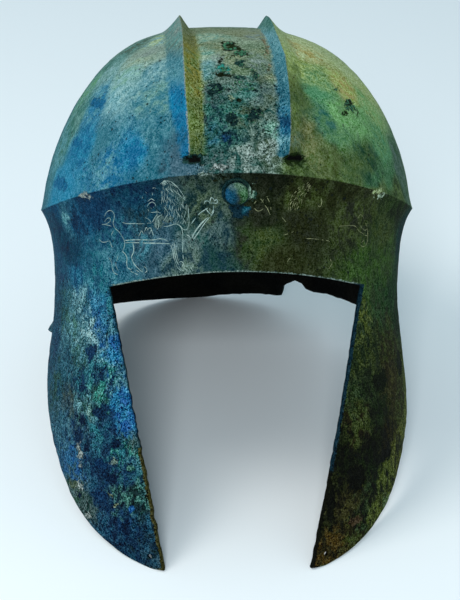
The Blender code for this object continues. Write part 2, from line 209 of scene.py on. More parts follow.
def bowl_height(x, y):
    """(share, z) of the bowl over this place in its plan."""
    across, ahead = in_plan(x, y)
    share = (1 - np.minimum(np.hypot(across, ahead), 1) ** BOWL_FULLNESS) ** BOWL_SHOULDER
    base = fold_z(np.arctan2(across, ahead))
    return share, base + (CROWN_Z - base) * share


def ridge_feet(y):
    """How far out the ridge's inner and outer foot lie, and the hollowness of its outer flank."""
    spread = ease(-y / SPREAD_DEPTH)
    foot_in = RIDGE_FOOT_IN + (SPREAD_FOOT_IN - RIDGE_FOOT_IN) * spread
    foot_out = RIDGE_FOOT_OUT + (SPREAD_FOOT_OUT - RIDGE_FOOT_OUT) * spread
    return foot_in, foot_out, RIDGE_FLANK + (SPREAD_FLANK - RIDGE_FLANK) * spread


def ridge_profile(x, y):
    """Height of the crest ridge across the helmet: steep towards the channel, hollow-flanked outside."""
    foot_in, foot_out, flank = ridge_feet(y)
    inner = (x - foot_in) / (RIDGE_CREST - foot_in)
    outer = np.clip((foot_out - x) / (foot_out - RIDGE_CREST), 0, 1) ** flank
    return RIDGE_HEIGHT * np.where(x < RIDGE_CREST, np.clip(inner, 0, 1), outer)


def bowl_points(x, y):
    """Points of the bowl, with the kick at its foot and the ridges lifted square to its side outline."""
    share, z = bowl_height(x, y)
    step = 0.2 * MM
    slope = (bowl_height(x, y + step)[1] - bowl_height(x, y - step)[1]) / (2 * step)
    base = fold_z(np.arctan2(*in_plan(x, y)))
    shrink = 1 - BOWL_INSET * (1 - np.exp(-(z - base) / KICK_HEIGHT)) / HALF_WIDTH
    lift = ridge_profile(x, y) * ease((share - RIDGE_LOW_END) / (RIDGE_FULL_FROM - RIDGE_LOW_END))
    lift /= np.hypot(slope, 1)
    return np.stack([x * shrink, y * shrink - slope * lift, z + lift], axis=-1)


def steps_over(length):
    return max(2, round(length / SPACING))


def close_rows(length, first, last):
    """Shares of this length, close together at its ends: at first from its start, at last from its end."""
    near = [f * MM / length for f in first]
    far = [1 - f * MM / length for f in reversed(last)]
    steps = steps_over(length * (far[0] - near[-1]))
    return np.array([*near, *np.linspace(near[-1], far[0], steps + 1)[1:-1], *far])


# Rows of points run round the helmet in columns; these are the lengths that the columns and rows divide.
BROW_COLUMNS = steps_over(26 * MM)
CHEEK_COLUMNS = steps_over(100 * MM)
NECK_COLUMNS = steps_over(118 * MM)
SHOULDER_STEPS = steps_over(60 * MM)
BAND_HEIGHT = 46 * MM
JAW_HEIGHT = 36 * MM
# Shares of the bowl's height where its lower rows lie, close together where the ridges begin. Evenly spaced
# rows go on up to the crown's foot.
LOW_SHARES = (0, 0.006, 0.015, 0.028, 0.045, 0.065, 0.085, 0.105, 0.115, 0.125, 0.14)
CROWN_FOOT = 0.344
RING_STEPS = steps_over(19 * MM)
strip_edge = math.asin(CREST_X[-1] / HALF_WIDTH)
corner_turn = float(front_turn(BROW_CORNER_Z))
column_turns = np.concatenate([
    np.linspace(strip_edge, corner_turn, BROW_COLUMNS + 1),
    np.linspace(corner_turn, NECK_TURN, CHEEK_COLUMNS + 1)[1:],
    np.linspace(NECK_TURN, math.pi - strip_edge, NECK_COLUMNS + 1)[1:],
])
STRIP = len(CREST_X)
CORNER = STRIP - 1 + BROW_COLUMNS
EAR = CORNER + CHEEK_COLUMNS


def half_sheet(side):
    """Rows of points of one half: side is 1 for the wearer's left and -1 for the wearer's right."""
    # The bowl's lower part, ring by ring.
    rings = []
    for share in (*LOW_SHARES, *np.linspace(LOW_SHARES[-1], CROWN_FOOT, RING_STEPS + 1)[1:]):
        reach = (1 - share ** (1 / BOWL_SHOULDER)) ** (1 / BOWL_FULLNESS)
        edge = math.asin(CREST_X[-1] / (HALF_WIDTH * reach))
        level = (column_turns[1:-1] - strip_edge) / (math.pi - 2 * strip_edge)
        here = edge + level * (math.pi - 2 * edge)
        lengthwise = np.sqrt(reach**2 - (CREST_X / HALF_WIDTH) ** 2)
        x = np.concatenate([CREST_X, HALF_WIDTH * reach * np.sin(here), CREST_X[::-1]])
        round_side = -half_depth(np.cos(here) > 0) * reach * np.cos(here)
        y = np.concatenate([-FRONT_DEPTH * lengthwise, round_side, BACK_DEPTH * lengthwise[::-1]])
        if share == 0:
            rings.append(np.stack([x, y, fold_z(np.arctan2(*in_plan(x, y)))], axis=-1))
        else:
            rings.append(bowl_points(x, y))
    top_x, top_y = x, y

    # Across the crown, from the middle line to the topmost ring.
    count = len(column_turns) - 1
    crown = []
    for j in range(1, count):
        along = 0.55 * math.cos(math.pi * j / count) + 0.45 * (1 - 2 * j / count)
        strip_y = -along * np.abs(top_y[:STRIP] if along > 0 else top_y[: -STRIP - 1 : -1])
        ends_x = np.array([CREST_X[-1], top_x[STRIP - 1 + j]])
        ends_y = np.array([strip_y[-1], top_y[STRIP - 1 + j]])
        across, ahead = in_plan(ends_x, ends_y)
        out = np.linspace(*np.hypot(across, ahead), SHOULDER_STEPS + 1)[1:-1]
        turn = np.linspace(*np.arctan2(across, ahead), SHOULDER_STEPS + 1)[1:-1]
        x = np.concatenate([CREST_X, HALF_WIDTH * out * np.sin(turn)])
        y = np.concatenate([strip_y, -half_depth(np.cos(turn) > 0) * out * np.cos(turn)])
        crown.append(bowl_points(x, y))

    # Down from the fold: the band to the brow's edge, the jaw to the neck rim, and the cheek guard.
    turns = turns_of(rings[0])
    cheek = np.arange(len(turns)) < EAR
    arch = np.where(np.arange(len(turns)) < CORNER, 1 - (np.sin(turns) / math.sin(corner_turn)) ** 2, 0)
    low = BROW_CORNER_Z + (BROW_Z - BROW_CORNER_Z) * np.clip(arch, 0, None)
    band = [
        wall_points(turns, fold_z(turns) + (low - fold_z(turns)) * share, cheek)
        for share in close_rows(BAND_HEIGHT, (0.5, 1.2, 2.2), (0, 0.8))
    ]
    turns, cheek = turns[CORNER:], cheek[CORNER:]
    rim = neck_rim_z(turns, side)
    jaw = []
    for share in close_rows(JAW_HEIGHT, (SPACING / MM,), (0, 0.8)):
        z = BROW_CORNER_Z * (1 - share) + rim * share
        front = front_turn(np.where(cheek, z, 0)) + raggedness(z, side) / HALF_WIDTH * share**0.3
        share_across = np.clip(np.arange(len(turns)) / CHEEK_COLUMNS, 0, 1)
        here = np.where(cheek, front + (NECK_TURN - front) * share_across, turns)
        jaw.append(ear_tab(wall_points(here, z, cheek), here, side))
    guard = []
    for share in close_rows(abs(CHEEK_TIP_Z), (SPACING / MM,), (0, 0.5, 1.2)):
        z = CHEEK_TIP_Z * share
        front = front_turn(z) + raggedness(z, side) / HALF_WIDTH
        bites = raggedness(z + 200 * MM, side) / HALF_WIDTH * ease(share / 0.15)
        rear = rear_turn(z) - bites * ease((1 - share) / 0.05)
        z_row = np.full(CHEEK_COLUMNS + 1, z)
        guard.append(wall_points(np.linspace(front, rear, CHEEK_COLUMNS + 1), z_row, True))
    return rings, crown, band, jaw, guard


RIM_ROUGHNESS = 0.5 * MM
RIM_WIDENED = 8 * MM


def neck_rim_z(turns, side):
    """Height of the neck rim: a slight dip towards the nape, and the jagged line where it has broken."""
    towards_nape = np.clip((turns - NECK_TURN) / (math.pi - NECK_TURN), 0, 1)
    across = side * (HALF_WIDTH + RIM_WIDENED * ease(towards_nape)) * np.sin(turns)
    table = np.array(BROKEN_RIM[1:], float) * MM
    missing = np.interp(across, table[:, 0], table[:, 1], left=0, right=0) * (towards_nape > 0)
    rough = np.array([noise.noise((a * 400, side, 3.1)) for a in across]) * RIM_ROUGHNESS
    rough *= np.where(missing > 0, 1, 0.3) * (towards_nape > 0)
    return missing + rough - NECK_DIP * ease(towards_nape)


RAGGED_RIGHT = 0.9 * MM
RAGGED_LEFT = 0.5 * MM


def raggedness(z, side):
    """How far corrosion has eaten into a cheek guard's edge, more on the wearer's right."""
    depth = RAGGED_RIGHT if side < 0 else RAGGED_LEFT
    single = np.atleast_1d(z)
    large = np.array([noise.noise((h * 230, side * 5, 0)) for h in single])
    small = np.array([noise.noise((h * 610, side * 5, 8)) for h in single])
    result = (large + 0.6 * small) * depth
    return result if np.ndim(z) else float(result[0])


# A corner of the neck rim is bent outwards behind the wearer's right ear.
TAB_TURN = math.radians(3.6)
TAB_HEIGHT = 6 * MM
TAB_BENT = (3.4 * MM, 0, -1.2 * MM)


def ear_tab(points, turns, side):
    if side < 0:
        near = np.exp(-(((turns - NECK_TURN) / TAB_TURN - 1) ** 2))
        near *= np.clip((TAB_HEIGHT - points[:, 2]) / TAB_HEIGHT, 0, 1.2) ** 2
        points = points + near[:, None] * np.array(TAB_BENT)
    return points


class SheetMesh:
    """Points and faces of the whole sheet. Rows of the two halves share the points on the middle line."""

    def __init__(self):
        self.points, self.faces, self.count = [], [], 0

    def add(self, row):
        self.points.append(row)
        self.count += len(row)
        return list(range(self.count - len(row), self.count))

    def fill(self, rows):
        for upper, lower in zip(rows, rows[1:]):
            for i in range(len(upper) - 1):
                ring = [upper[i], lower[i], lower[i + 1], upper[i + 1]]
                corners = [v for k, v in enumerate(ring) if v not in ring[:k]]
                if len(corners) > 2:
                    self.faces.append(corners)

    def add_half(self, side, middle):
        """Lays one half. middle keeps the numbers of the middle line's points for the second half."""

        def lay(name, row, front, back):
            """Numbers of the row's points; front and back say which of its ends lie on the middle line."""
            points = row * np.array([side, 1, 1])
            numbers = self.add(points)
            for end, wanted in ((0, front), (-1, back)):
                if wanted and (name, end) in middle:
                    numbers[end] = middle[name, end]
                elif wanted:
                    middle[name, end] = numbers[end]
                    self.points[-1][end, 0] = 0
            return numbers

        def lay_rows(name, rows, front, back):
            return [lay(f"{name}{k}", row, front, back) for k, row in enumerate(rows)]

        rings, crown, band, jaw, guard = half_sheet(side)
        rings = lay_rows("ring", rings, True, True)
        top = rings[-1]
        start, end = top[:STRIP], top[: -STRIP - 1 : -1]
        rows = [start + [start[-1]] * SHOULDER_STEPS]
        rows += [row + [top[STRIP + k]] for k, row in enumerate(lay_rows("crown", crown, True, False))]
        rows.append(end + [end[-1]] * SHOULDER_STEPS)
        band = [rings[0]] + lay_rows("band", band, True, True)
        jaw = [band[-1][CORNER:]] + lay_rows("jaw", jaw, False, True)
        guard = [jaw[-1][: CHEEK_COLUMNS + 1]] + lay_rows("guard", guard, False, False)
        for part in (rings, rows, band, jaw, guard):
            self.fill(part)


def new_object(name, data, *materials):
    obj = bpy.data.objects.new(name, data)
    bpy.context.scene.collection.objects.link(obj)
    for material in materials:
        data.materials.append(material)
    return obj


def mesh_of(shape, name):
    """The worked shape as a mesh of that name."""
    mesh = bpy.data.meshes.new(name)
    shape.to_mesh(mesh)
    shape.free()
    return mesh


def rows_of(items, field):
    """That field of each item, three numbers to a row."""
    flat = np.empty(len(items) * 3, np.float32)
    items.foreach_get(field, flat)
    return flat.reshape(-1, 3).astype(float)


def coords(mesh):
    return rows_of(mesh.vertices, "co")


def normals(mesh):
    return rows_of(mesh.vertex_normals, "vector")


def move_to(mesh, points):
    mesh.vertices.foreach_set("co", points.astype(np.float32).ravel())
    mesh.update()


def noise_at(points, grain, seed):
    """Smooth noise from -1 to 1 at each point, with lumps about as big as grain, in metres."""
    return np.array([noise.noise(p) for p in (points / grain + seed).tolist()])


def noise_layers(points, *layers):
    """Smooth noise in layers, each given as its strength, its grain in millimetres and its seed."""
    return sum(strength * noise_at(points, grain * MM, seed) for strength, grain, seed in layers)


sheet = SheetMesh()
middle_line = {}
for side in (1, -1):
    sheet.add_half(side, middle_line)
flat_mesh = bpy.data.meshes.new("sheet")
flat_mesh.from_pydata(np.concatenate(sheet.points).tolist(), [], sheet.faces)
shape = bmesh.new()
shape.from_mesh(flat_mesh)
loose = [v for v in shape.verts if not v.link_faces]
bmesh.ops.delete(shape, geom=loose, context="VERTS")
# Rows that run together on the bowl's shoulders are joined.
high = [v for v in shape.verts if v.co.z > FOLD_SIDE_Z + 15 * MM]
pinched = [v for v in high if abs(v.co.x) > CREST_X[-1] - 0.1 * MM]
bmesh.ops.remove_doubles(shape, verts=pinched, dist=0.35 * MM)
bmesh.ops.recalc_face_normals(shape, faces=shape.faces)
if max(shape.faces, key=lambda f: f.calc_center_median().z).normal.z < 0:
    bmesh.ops.reverse_faces(shape, faces=shape.faces)


def surface_at(tree, x, z):
    """The front surface's point and normal at this place, seen from the face side."""
    hit = tree.ray_cast(Vector((x, -0.5, z)), Vector((0, 1, 0)))
    return hit[0], hit[1]


def drill(shape, centre, axis, radius):
    """A round hole through the sheet: the faces round it are made finer, opened, and drawn to a circle."""
    finer, opened, drawn = 2.2 * radius, 1.12 * radius, 1.5 * radius
    for _ in range(2):
        near = [f for f in shape.faces if (f.calc_center_median() - centre).length < finer]
        edges = {e for f in near for e in f.edges if e.calc_length() > 0.3 * MM}
        bmesh.ops.subdivide_edges(shape, edges=list(edges), cuts=1, use_grid_fill=True)
    inside = [f for f in shape.faces if all((v.co - centre).length < opened for v in f.verts)]
    bmesh.ops.delete(shape, geom=inside, context="FACES")
    for v in shape.verts:
        offset = v.co - centre
        offset -= axis * offset.dot(axis)
        if v.is_boundary and (v.co - centre).length < drawn and offset.length > 0:
            v.co += offset.normalized() * (radius - offset.length)


HOLES = (
    (TIE_HOLE_X, TIE_HOLE_Z, TIE_HOLE_R), (-TIE_HOLE_X, TIE_HOLE_Z, TIE_HOLE_R),
    (KNOB_X, KNOB_Z, RIVET_HOLE_R),
)
undrilled = BVHTree.FromBMesh(shape)
drilled = []
for x, z, radius in HOLES:
    centre, axis = surface_at(undrilled, x, z)
    drill(shape, centre, axis, radius)
    drilled.append(centre)
shape.to_mesh(flat_mesh)
shape.free()

# The ridges were not raised quite straight: how far they drift sideways and apart, height by height, in
# millimetres.
RIDGE_DRIFT = (
    ("z", "sideways", "apart"),
    (98, -1.5, 0), (115, -1.0, 1.0), (130, -1.2, 1.6), (148, -1.7, 1.5), (160, -2.8, 0.2),
)
# On the front, the inner foot of the ridge on the wearer's left lies closer to its crest: how far it moves
# out, place by place across, in millimetres.
STEEP_FOOT = (("x", "out"), (11, 0), (16.3, 1.9), (22.7, 0))

points = coords(flat_mesh)
outward = normals(flat_mesh)
plan = points.copy()
drift = np.array(RIDGE_DRIFT[1:], float) * MM
near_ridges = 1 - rising(np.abs(points[:, 0]), 36, 40)
near_ridges *= rising(points[:, 2] - fold_z(turns_of(points)), 0, 8) * falling(points[:, 1], 40, 60)
sideways = np.interp(points[:, 2], drift[:, 0], drift[:, 1])
apart = np.interp(points[:, 2], drift[:, 0], drift[:, 2]) * np.clip(points[:, 0] / RIDGE_CREST, -1, 1)
points[:, 0] += (sideways + apart) * near_ridges
foot = np.array(STEEP_FOOT[1:], float) * MM
at_foot = np.interp(plan[:, 0], foot[:, 0], foot[:, 1])
points[:, 0] += at_foot * near_ridges * ease(-plan[:, 1] / SPREAD_DEPTH)

# The hammered sheet is never quite true: shallow swells between the blows.
swell = noise_layers(points, (0.45, 34, 0), (0.16, 11, 5), (0.07, 4.5, 9))
move_to(flat_mesh, points + outward * (swell * MM)[:, None])

# How near each point is to a free edge of the sheet. The rims of the holes, this near to their middles, don't
# count.
HOLE_RIMS = 3.5 * MM
shape = bmesh.new()
shape.from_mesh(flat_mesh)
open_edge = [v.co.copy() for v in shape.verts if v.is_boundary]
free = [place for place in open_edge if min((place - hole).length for hole in drilled) > HOLE_RIMS]
shape.free()
edge_points = KDTree(len(free))
for k, place in enumerate(free):
    edge_points.insert(place, k)
edge_points.balance()
from_edge = np.array([edge_points.find(v.co)[2] for v in flat_mesh.vertices])

sheet_obj = new_object("sheet", flat_mesh)
thick = sheet_obj.vertex_groups.new(name="free_edge")
for index, weight in enumerate(1 - ease(from_edge / EDGE_REACH)):
    thick.add([index], float(weight), "REPLACE")
wall = sheet_obj.modifiers.new("wall", "SOLIDIFY")
wall.thickness = EDGE_SHEET
wall.offset = -1
wall.vertex_group = "free_edge"
wall.thickness_vertex_group = SHEET / EDGE_SHEET
wall.use_even_offset = True


def evaluated_mesh(obj, name):
    """The object's mesh with its modifiers applied. The object itself is then removed."""
    made = bpy.data.meshes.new_from_object(obj.evaluated_get(bpy.context.evaluated_depsgraph_get()))
    made.name = name
    bpy.data.objects.remove(obj)
    return made


shell_mesh = evaluated_mesh(sheet_obj, "helmet_shell_bronze")
outer_count = len(flat_mesh.vertices)
points = coords(shell_mesh)
edge_pairs = np.array([e.vertices[:] for e in shell_mesh.edges])
inner_ends = (edge_pairs >= outer_count).sum(axis=1)
inner_pairs, rim_pairs = edge_pairs[inner_ends == 2], edge_pairs[inner_ends == 1]
rim_points = np.unique(rim_pairs)


def relax(points, pairs, chosen, times):
    """Draws each chosen point to the mean of its neighbours, that many times, to even out bunched ones."""
    points = points.copy()
    both = np.concatenate([pairs, pairs[:, ::-1]])
    neighbours = np.bincount(both[:, 0], minlength=len(points))
    for _ in range(times):
        summed = [np.bincount(both[:, 0], points[both[:, 1], k], len(points)) for k in range(3)]
        points[chosen] = np.stack(summed, axis=-1)[chosen] / neighbours[chosen, None]
    return points


# Inside, the sheet's fold and the ridges' hollows are round, not crisp.
FOLD_ROUNDED = 6 * MM
RIDGE_ROUNDED = 7 * MM
ROUNDING_TIMES = 14

fold = fold_z(turns_of(points))
inside = np.arange(len(points)) >= outer_count
by_fold = np.abs(points[:, 2] - fold) < FOLD_ROUNDED
by_ridge = (np.abs(np.abs(points[:, 0]) - RIDGE_CREST) < RIDGE_ROUNDED) & (points[:, 2] > fold)
soft = inside & (by_fold | by_ridge)
soft[rim_points] = False
points = relax(points, inner_pairs, soft, ROUNDING_TIMES)
move_to(shell_mesh, points)

# Colours of the patina, as seen in daylight, in steps from 0 to 255.
PIGMENTS = {
    "ink": (2, 26, 48), "navy": (4, 38, 62), "prussian": (10, 52, 78), "deep_blue": (12, 70, 98),
    "azure": (18, 88, 122), "bright_azure": (32, 104, 136), "sky": (38, 115, 143), "blue": (26, 96, 120),
    "petrol": (22, 72, 92), "dark_petrol": (12, 58, 76), "teal": (32, 86, 100), "grey_teal": (48, 98, 112),
    "mist": (70, 118, 128), "pale_cyan": (98, 142, 148), "ice": (122, 158, 158), "sea_green": (92, 132, 126),
    "turquoise": (56, 108, 120), "steel": (58, 86, 98), "slate": (38, 66, 78), "dark_slate": (22, 48, 56),
    "lead": (64, 84, 82), "night": (10, 36, 46), "mint": (108, 148, 132), "cream": (124, 152, 134),
    "lichen": (138, 156, 132), "chalk": (116, 132, 124), "grey_green": (88, 108, 98), "jade": (50, 98, 88),
    "dark_jade": (28, 70, 64), "spruce": (24, 54, 50), "deep_spruce": (12, 36, 36), "leaf": (96, 134, 88),
    "fern": (76, 116, 80), "forest": (52, 84, 56), "deep_green": (34, 66, 46), "moss": (40, 56, 28),
    "dark_moss": (25, 38, 14), "black_moss": (15, 22, 6), "straw": (156, 172, 124),
    "yellow_green": (140, 162, 106), "gold_olive": (110, 130, 74), "olive": (84, 102, 60),
    "dark_olive": (60, 71, 35), "brown_olive": (46, 52, 28), "umber": (34, 38, 26), "bark": (30, 34, 10),
    "pitch": (10, 12, 5), "tan": (56, 54, 20), "rust_brown": (62, 48, 28), "ochre": (108, 112, 74),
    "bone": (120, 130, 126), "moss_light": (64, 86, 50), "sage": (66, 82, 64), "spring": (82, 134, 96),
    "bright_leaf": (110, 158, 100), "pale_straw": (168, 180, 132), "lime": (160, 176, 106),
    "glaucous": (82, 132, 140), "reed": (100, 112, 60), "grey_brown": (54, 68, 62), "black": (6, 7, 6),
    "lamp": (16, 15, 11), "khaki": (122, 132, 104), "willow": (98, 118, 93), "clay": (118, 112, 88),
    "honey": (130, 126, 56), "verdigris": (38, 124, 112), "aqua": (24, 98, 108), "cobalt": (6, 78, 128),
    "cerulean": (10, 108, 142), "indigo": (2, 43, 72), "amber": (158, 146, 88), "oil_green": (56, 66, 22),
    "bronze_green": (78, 88, 24), "old_gold": (92, 97, 26), "green_moss": (58, 84, 36),
    "bottle": (16, 42, 18), "fir": (34, 66, 30), "peat": (34, 30, 5), "sienna": (70, 54, 6),
}

# The patina of the face side, part by part: a place across and up in millimetres, the ground colour there,
# and the colour of the crust that blooms over it.
PATCHES = {
    "bowl": (
        # The palest patches high on the bowl, ice and cream on the wearer's right and straw and pale straw on
        # the left, are partly painted highlight on the upper slopes that face the lamps.
        # wearer's right
        (-62, 138, "sea_green", "ice"), (-45, 146, "lichen", "cream"), (-40, 138, "mist", "ice"),
        (-78, 114, "jade", "sea_green"), (-37, 154, "ice", "straw"), (-44, 147, "chalk", "chalk"),
        (-54, 136, "mint", "ice"), (-58, 128, "pale_cyan", "ice"), (-37, 129, "turquoise", "sea_green"),
        (-67, 124, "bright_azure", "glaucous"), (-74, 104, "azure", "sky"),
        (-65, 107, "grey_teal", "turquoise"), (-50, 103, "azure", "sky"), (-60, 96, "azure", "glaucous"),
        (-85, 82, "sky", "sky"), (-41, 109, "teal", "mist"), (-34, 98, "slate", "grey_teal"),
        (-43, 96, "teal", "grey_teal"), (-28, 98, "steel", "steel"), (-84, 104, "jade", "glaucous"),
        (-71, 131, "spring", "sea_green"), (-60, 142, "jade", "sea_green"), (-48, 151, "sage", "sea_green"),
        # wearer's left
        (48, 150, "straw", "pale_straw"), (62, 136, "lime", "pale_straw"),
        (36, 153, "pale_straw", "pale_straw"), (60, 138, "straw", "pale_straw"),
        (29, 143, "gold_olive", "lime"), (33, 150, "amber", "pale_straw"), (36, 138, "leaf", "yellow_green"),
        (38, 129, "spring", "spring"), (30, 129, "moss_light", "olive"), (55, 130, "amber", "lime"),
        (65, 123, "bright_leaf", "yellow_green"), (47, 122, "leaf", "bright_leaf"),
        (62, 117, "leaf", "bright_leaf"), (41, 117, "jade", "fern"), (30, 110, "dark_olive", "ochre"),
        (46, 112, "fern", "leaf"), (63, 97, "deep_green", "moss_light"), (73, 102, "spring", "leaf"),
        (35, 103, "olive", "ochre"), (43, 100, "dark_olive", "olive"), (54, 93, "moss_light", "olive"),
        (66, 91, "deep_green", "fern"), (77, 90, "forest", "fern"), (84, 91, "forest", "grey_green"),
        (68, 82, "olive", "reed"), (81, 78, "moss", "olive"), (28, 98, "moss", "olive"),
    ),
    "channel": (
        (-10, 160, "khaki", "willow"), (3, 158, "khaki", "khaki"), (13, 157, "khaki", "chalk"),
        (-14, 155, "mint", "lichen"), (-9, 151, "willow", "khaki"), (7, 153, "lichen", "willow"),
        (14, 149, "khaki", "willow"), (-15, 148, "mint", "lichen"), (-10, 145, "bone", "cream"),
        (-4, 146, "willow", "khaki"), (1, 142, "willow", "willow"), (8, 145, "willow", "chalk"),
        (13, 142, "willow", "grey_green"), (-15, 140, "sea_green", "pale_cyan"),
        (-9, 140, "sea_green", "grey_green"), (-4, 137, "grey_green", "grey_green"),
        (3, 138, "jade", "grey_green"), (11, 138, "sage", "grey_green"), (15, 138, "khaki", "willow"),
        (-16, 134, "willow", "grey_green"), (-12, 133, "jade", "lead"), (0, 133, "jade", "grey_green"),
        (4, 130, "jade", "sea_green"), (11, 132, "lead", "grey_green"), (-15, 128, "lead", "jade"),
        (-9, 128, "dark_jade", "lead"), (-3, 127, "dark_jade", "jade"), (7, 128, "lead", "grey_green"),
        (14, 128, "grey_green", "sage"), (-15, 122, "dark_slate", "jade"), (-8, 121, "dark_slate", "jade"),
        (0, 121, "jade", "sage"), (7, 122, "spruce", "sage"), (14, 121, "dark_jade", "grey_green"),
        (-16, 112, "dark_jade", "grey_teal"), (-6, 110, "night", "jade"), (9, 111, "spruce", "grey_green"),
        (12, 106, "sage", "chalk"), (-11, 100, "dark_jade", "lead"), (16, 112, "lead", "mint"),
        (1, 102, "dark_jade", "chalk"),
    ),
    "wall": (
        # brow band
        (-90, 73, "navy", "deep_blue"), (-83, 68, "petrol", "turquoise"), (-86, 59, "navy", "dark_petrol"),
        (-78, 66, "navy", "deep_blue"), (-70, 76, "navy", "prussian"), (-51, 85, "navy", "dark_petrol"),
        (-44, 73, "dark_slate", "dark_petrol"), (-56, 62, "prussian", "teal"),
        (-46, 61, "slate", "turquoise"), (-37, 59, "slate", "steel"), (-19, 60, "dark_jade", "lead"),
        (-16, 74, "deep_spruce", "sage"), (-81, 50, "navy", "dark_petrol"), (-61, 47, "petrol", "turquoise"),
        (-23, 52, "dark_slate", "grey_green"), (-12, 67, "dark_slate", "lead"), (0, 63, "umber", "moss"),
        (10, 63, "moss", "dark_olive"), (-12, 52, "dark_slate", "spruce"), (21, 52, "bark", "brown_olive"),
        (18, 89, "black_moss", "umber"), (11, 74, "black_moss", "umber"), (28, 86, "bark", "dark_olive"),
        (28, 69, "bark", "umber"), (54, 72, "umber", "dark_olive"), (75, 62, "moss", "dark_olive"),
        (88, 55, "deep_spruce", "spruce"), (51, 82, "bark", "brown_olive"), (81, 71, "black_moss", "moss"),
        # cheek guard, wearer's right
        (-87, 40, "prussian", "petrol"), (-79, 40, "deep_blue", "blue"), (-68, 42, "petrol", "aqua"),
        (-89, 20, "dark_petrol", "petrol"), (-83, 20, "dark_jade", "teal"), (-76, 24, "teal", "pale_cyan"),
        (-66, 26, "deep_blue", "sky"), (-62, 27, "petrol", "aqua"), (-80, 10, "jade", "glaucous"),
        (-73, 11, "turquoise", "ice"), (-67, 17, "cobalt", "azure"), (-61, 17, "petrol", "turquoise"),
        (-90, 0, "prussian", "petrol"), (-77, -2, "dark_jade", "turquoise"), (-67, 7, "teal", "pale_cyan"),
        (-61, 6, "cobalt", "cerulean"), (-69, -4, "dark_petrol", "aqua"), (-65, -8, "indigo", "verdigris"),
        (-57, -7, "petrol", "mist"), (-83, -9, "dark_petrol", "teal"), (-76, -12, "indigo", "aqua"),
        (-88, -17, "dark_jade", "petrol"), (-67, -16, "dark_jade", "verdigris"),
        (-61, -18, "indigo", "petrol"), (-56, -17, "cobalt", "cerulean"), (-82, -24, "slate", "grey_brown"),
        (-74, -27, "dark_jade", "glaucous"), (-66, -25, "navy", "indigo"), (-61, -26, "indigo", "petrol"),
        (-54, -29, "cobalt", "cerulean"), (-77, -35, "indigo", "slate"), (-68, -36, "petrol", "aqua"),
        (-60, -38, "navy", "indigo"), (-85, -42, "petrol", "grey_teal"),
        (-55, -44, "dark_petrol", "verdigris"), (-52, -38, "spruce", "lead"), (-74, -44, "navy", "petrol"),
        (-81, -54, "cobalt", "azure"), (-65, -52, "navy", "indigo"), (-72, -58, "indigo", "petrol"),
        (-52, -53, "indigo", "teal"), (-80, -64, "deep_green", "lead"), (-65, -68, "navy", "indigo"),
        (-56, -63, "night", "jade"), (-48, -66, "deep_spruce", "jade"), (-73, -74, "spruce", "lead"),
        (-64, -80, "navy", "petrol"), (-55, -78, "ink", "indigo"), (-46, -76, "night", "petrol"),
        (-48, -87, "navy", "dark_petrol"), (-40, -90, "deep_spruce", "slate"),
        # cheek guard, wearer's left: near-black ground, partly painted shade on the side turned away from the
        # key lamp
        (78, 46, "moss", "green_moss"), (64, 40, "moss", "green_moss"), (81, 27, "bottle", "fir"),
        (71, 27, "moss", "fir"), (62, 20, "moss", "bronze_green"), (89, 15, "dark_moss", "bottle"),
        (66, 8, "dark_moss", "oil_green"), (57, -1, "dark_moss", "oil_green"), (78, 2, "peat", "oil_green"),
        (61, -16, "black_moss", "moss"), (80, -16, "peat", "tan"), (61, -30, "peat", "oil_green"),
        (88, -27, "peat", "oil_green"), (72, -28, "black_moss", "dark_moss"), (78, -40, "pitch", "peat"),
        (92, -40, "bronze_green", "old_gold"), (94, -22, "oil_green", "bronze_green"),
        (50, -54, "pitch", "bark"), (67, -58, "pitch", "dark_moss"), (78, -63, "black_moss", "bronze_green"),
        (85, -57, "bark", "old_gold"), (56, -61, "pitch", "peat"), (62, -76, "pitch", "moss"),
        (45, -77, "pitch", "bark"), (55, -72, "peat", "tan"), (49, -86, "peat", "sienna"),
        (58, -86, "peat", "oil_green"), (41, -94, "peat", "sienna"), (71, -79, "bark", "bronze_green"),
        (54, -44, "pitch", "black_moss"), (70, -48, "pitch", "black_moss"),
    ),
}
# How far a patch reaches, how flat its middle is, and how steeply it gives way to its neighbours.
PATCH_REACH = 4 * MM
PATCH_CORE = 0.08
PATCH_FALL = 2.5

# The flanks of the two ridges, from the crown down: height in millimetres, ground and bloom. They begin this
# share of the way up the bowl.
FLANKS_FROM = 0.115
# Flanks turned towards the wearer's right are blue and those turned towards the wearer's left olive: patina
# colours, partly painted coloured light falling from either side.
FLANKS = {
    ("right", "outer"): (
        (159, "chalk", "sea_green"), (152, "grey_green", "sea_green"), (145, "turquoise", "mist"),
        (138, "glaucous", "mist"), (131, "azure", "cerulean"), (125, "azure", "cerulean"),
        (118, "azure", "cerulean"), (111, "petrol", "azure"), (105, "azure", "cerulean"),
    ),
    ("right", "inner"): (
        (159, "khaki", "reed"), (152, "honey", "ochre"), (145, "honey", "gold_olive"),
        (138, "honey", "olive"), (132, "gold_olive", "honey"), (125, "reed", "olive"),
        (118, "reed", "gold_olive"), (111, "olive", "reed"), (105, "forest", "olive"),
    ),
    ("left", "inner"): (
        (162, "jade", "sea_green"), (157, "glaucous", "pale_cyan"), (150, "mist", "glaucous"),
        (143, "turquoise", "mist"), (136, "teal", "mist"), (129, "teal", "grey_teal"),
        (123, "blue", "turquoise"), (118, "prussian", "deep_blue"), (114, "deep_blue", "blue"),
        (109, "turquoise", "pale_cyan"), (105, "teal", "mist"),
    ),
    ("left", "outer"): (
        (157, "yellow_green", "pale_straw"), (150, "straw", "lime"), (143, "gold_olive", "lime"),
        (136, "reed", "gold_olive"), (129, "moss_light", "olive"), (123, "olive", "gold_olive"),
        (116, "olive", "reed"), (109, "willow", "ochre"), (104, "dark_olive", "olive"),
    ),
}

# How far the flanks' colour runs out from their inner foot into the channel.
FOOT_STAIN = {"right": 2.4 * MM, "left": 0.5 * MM}

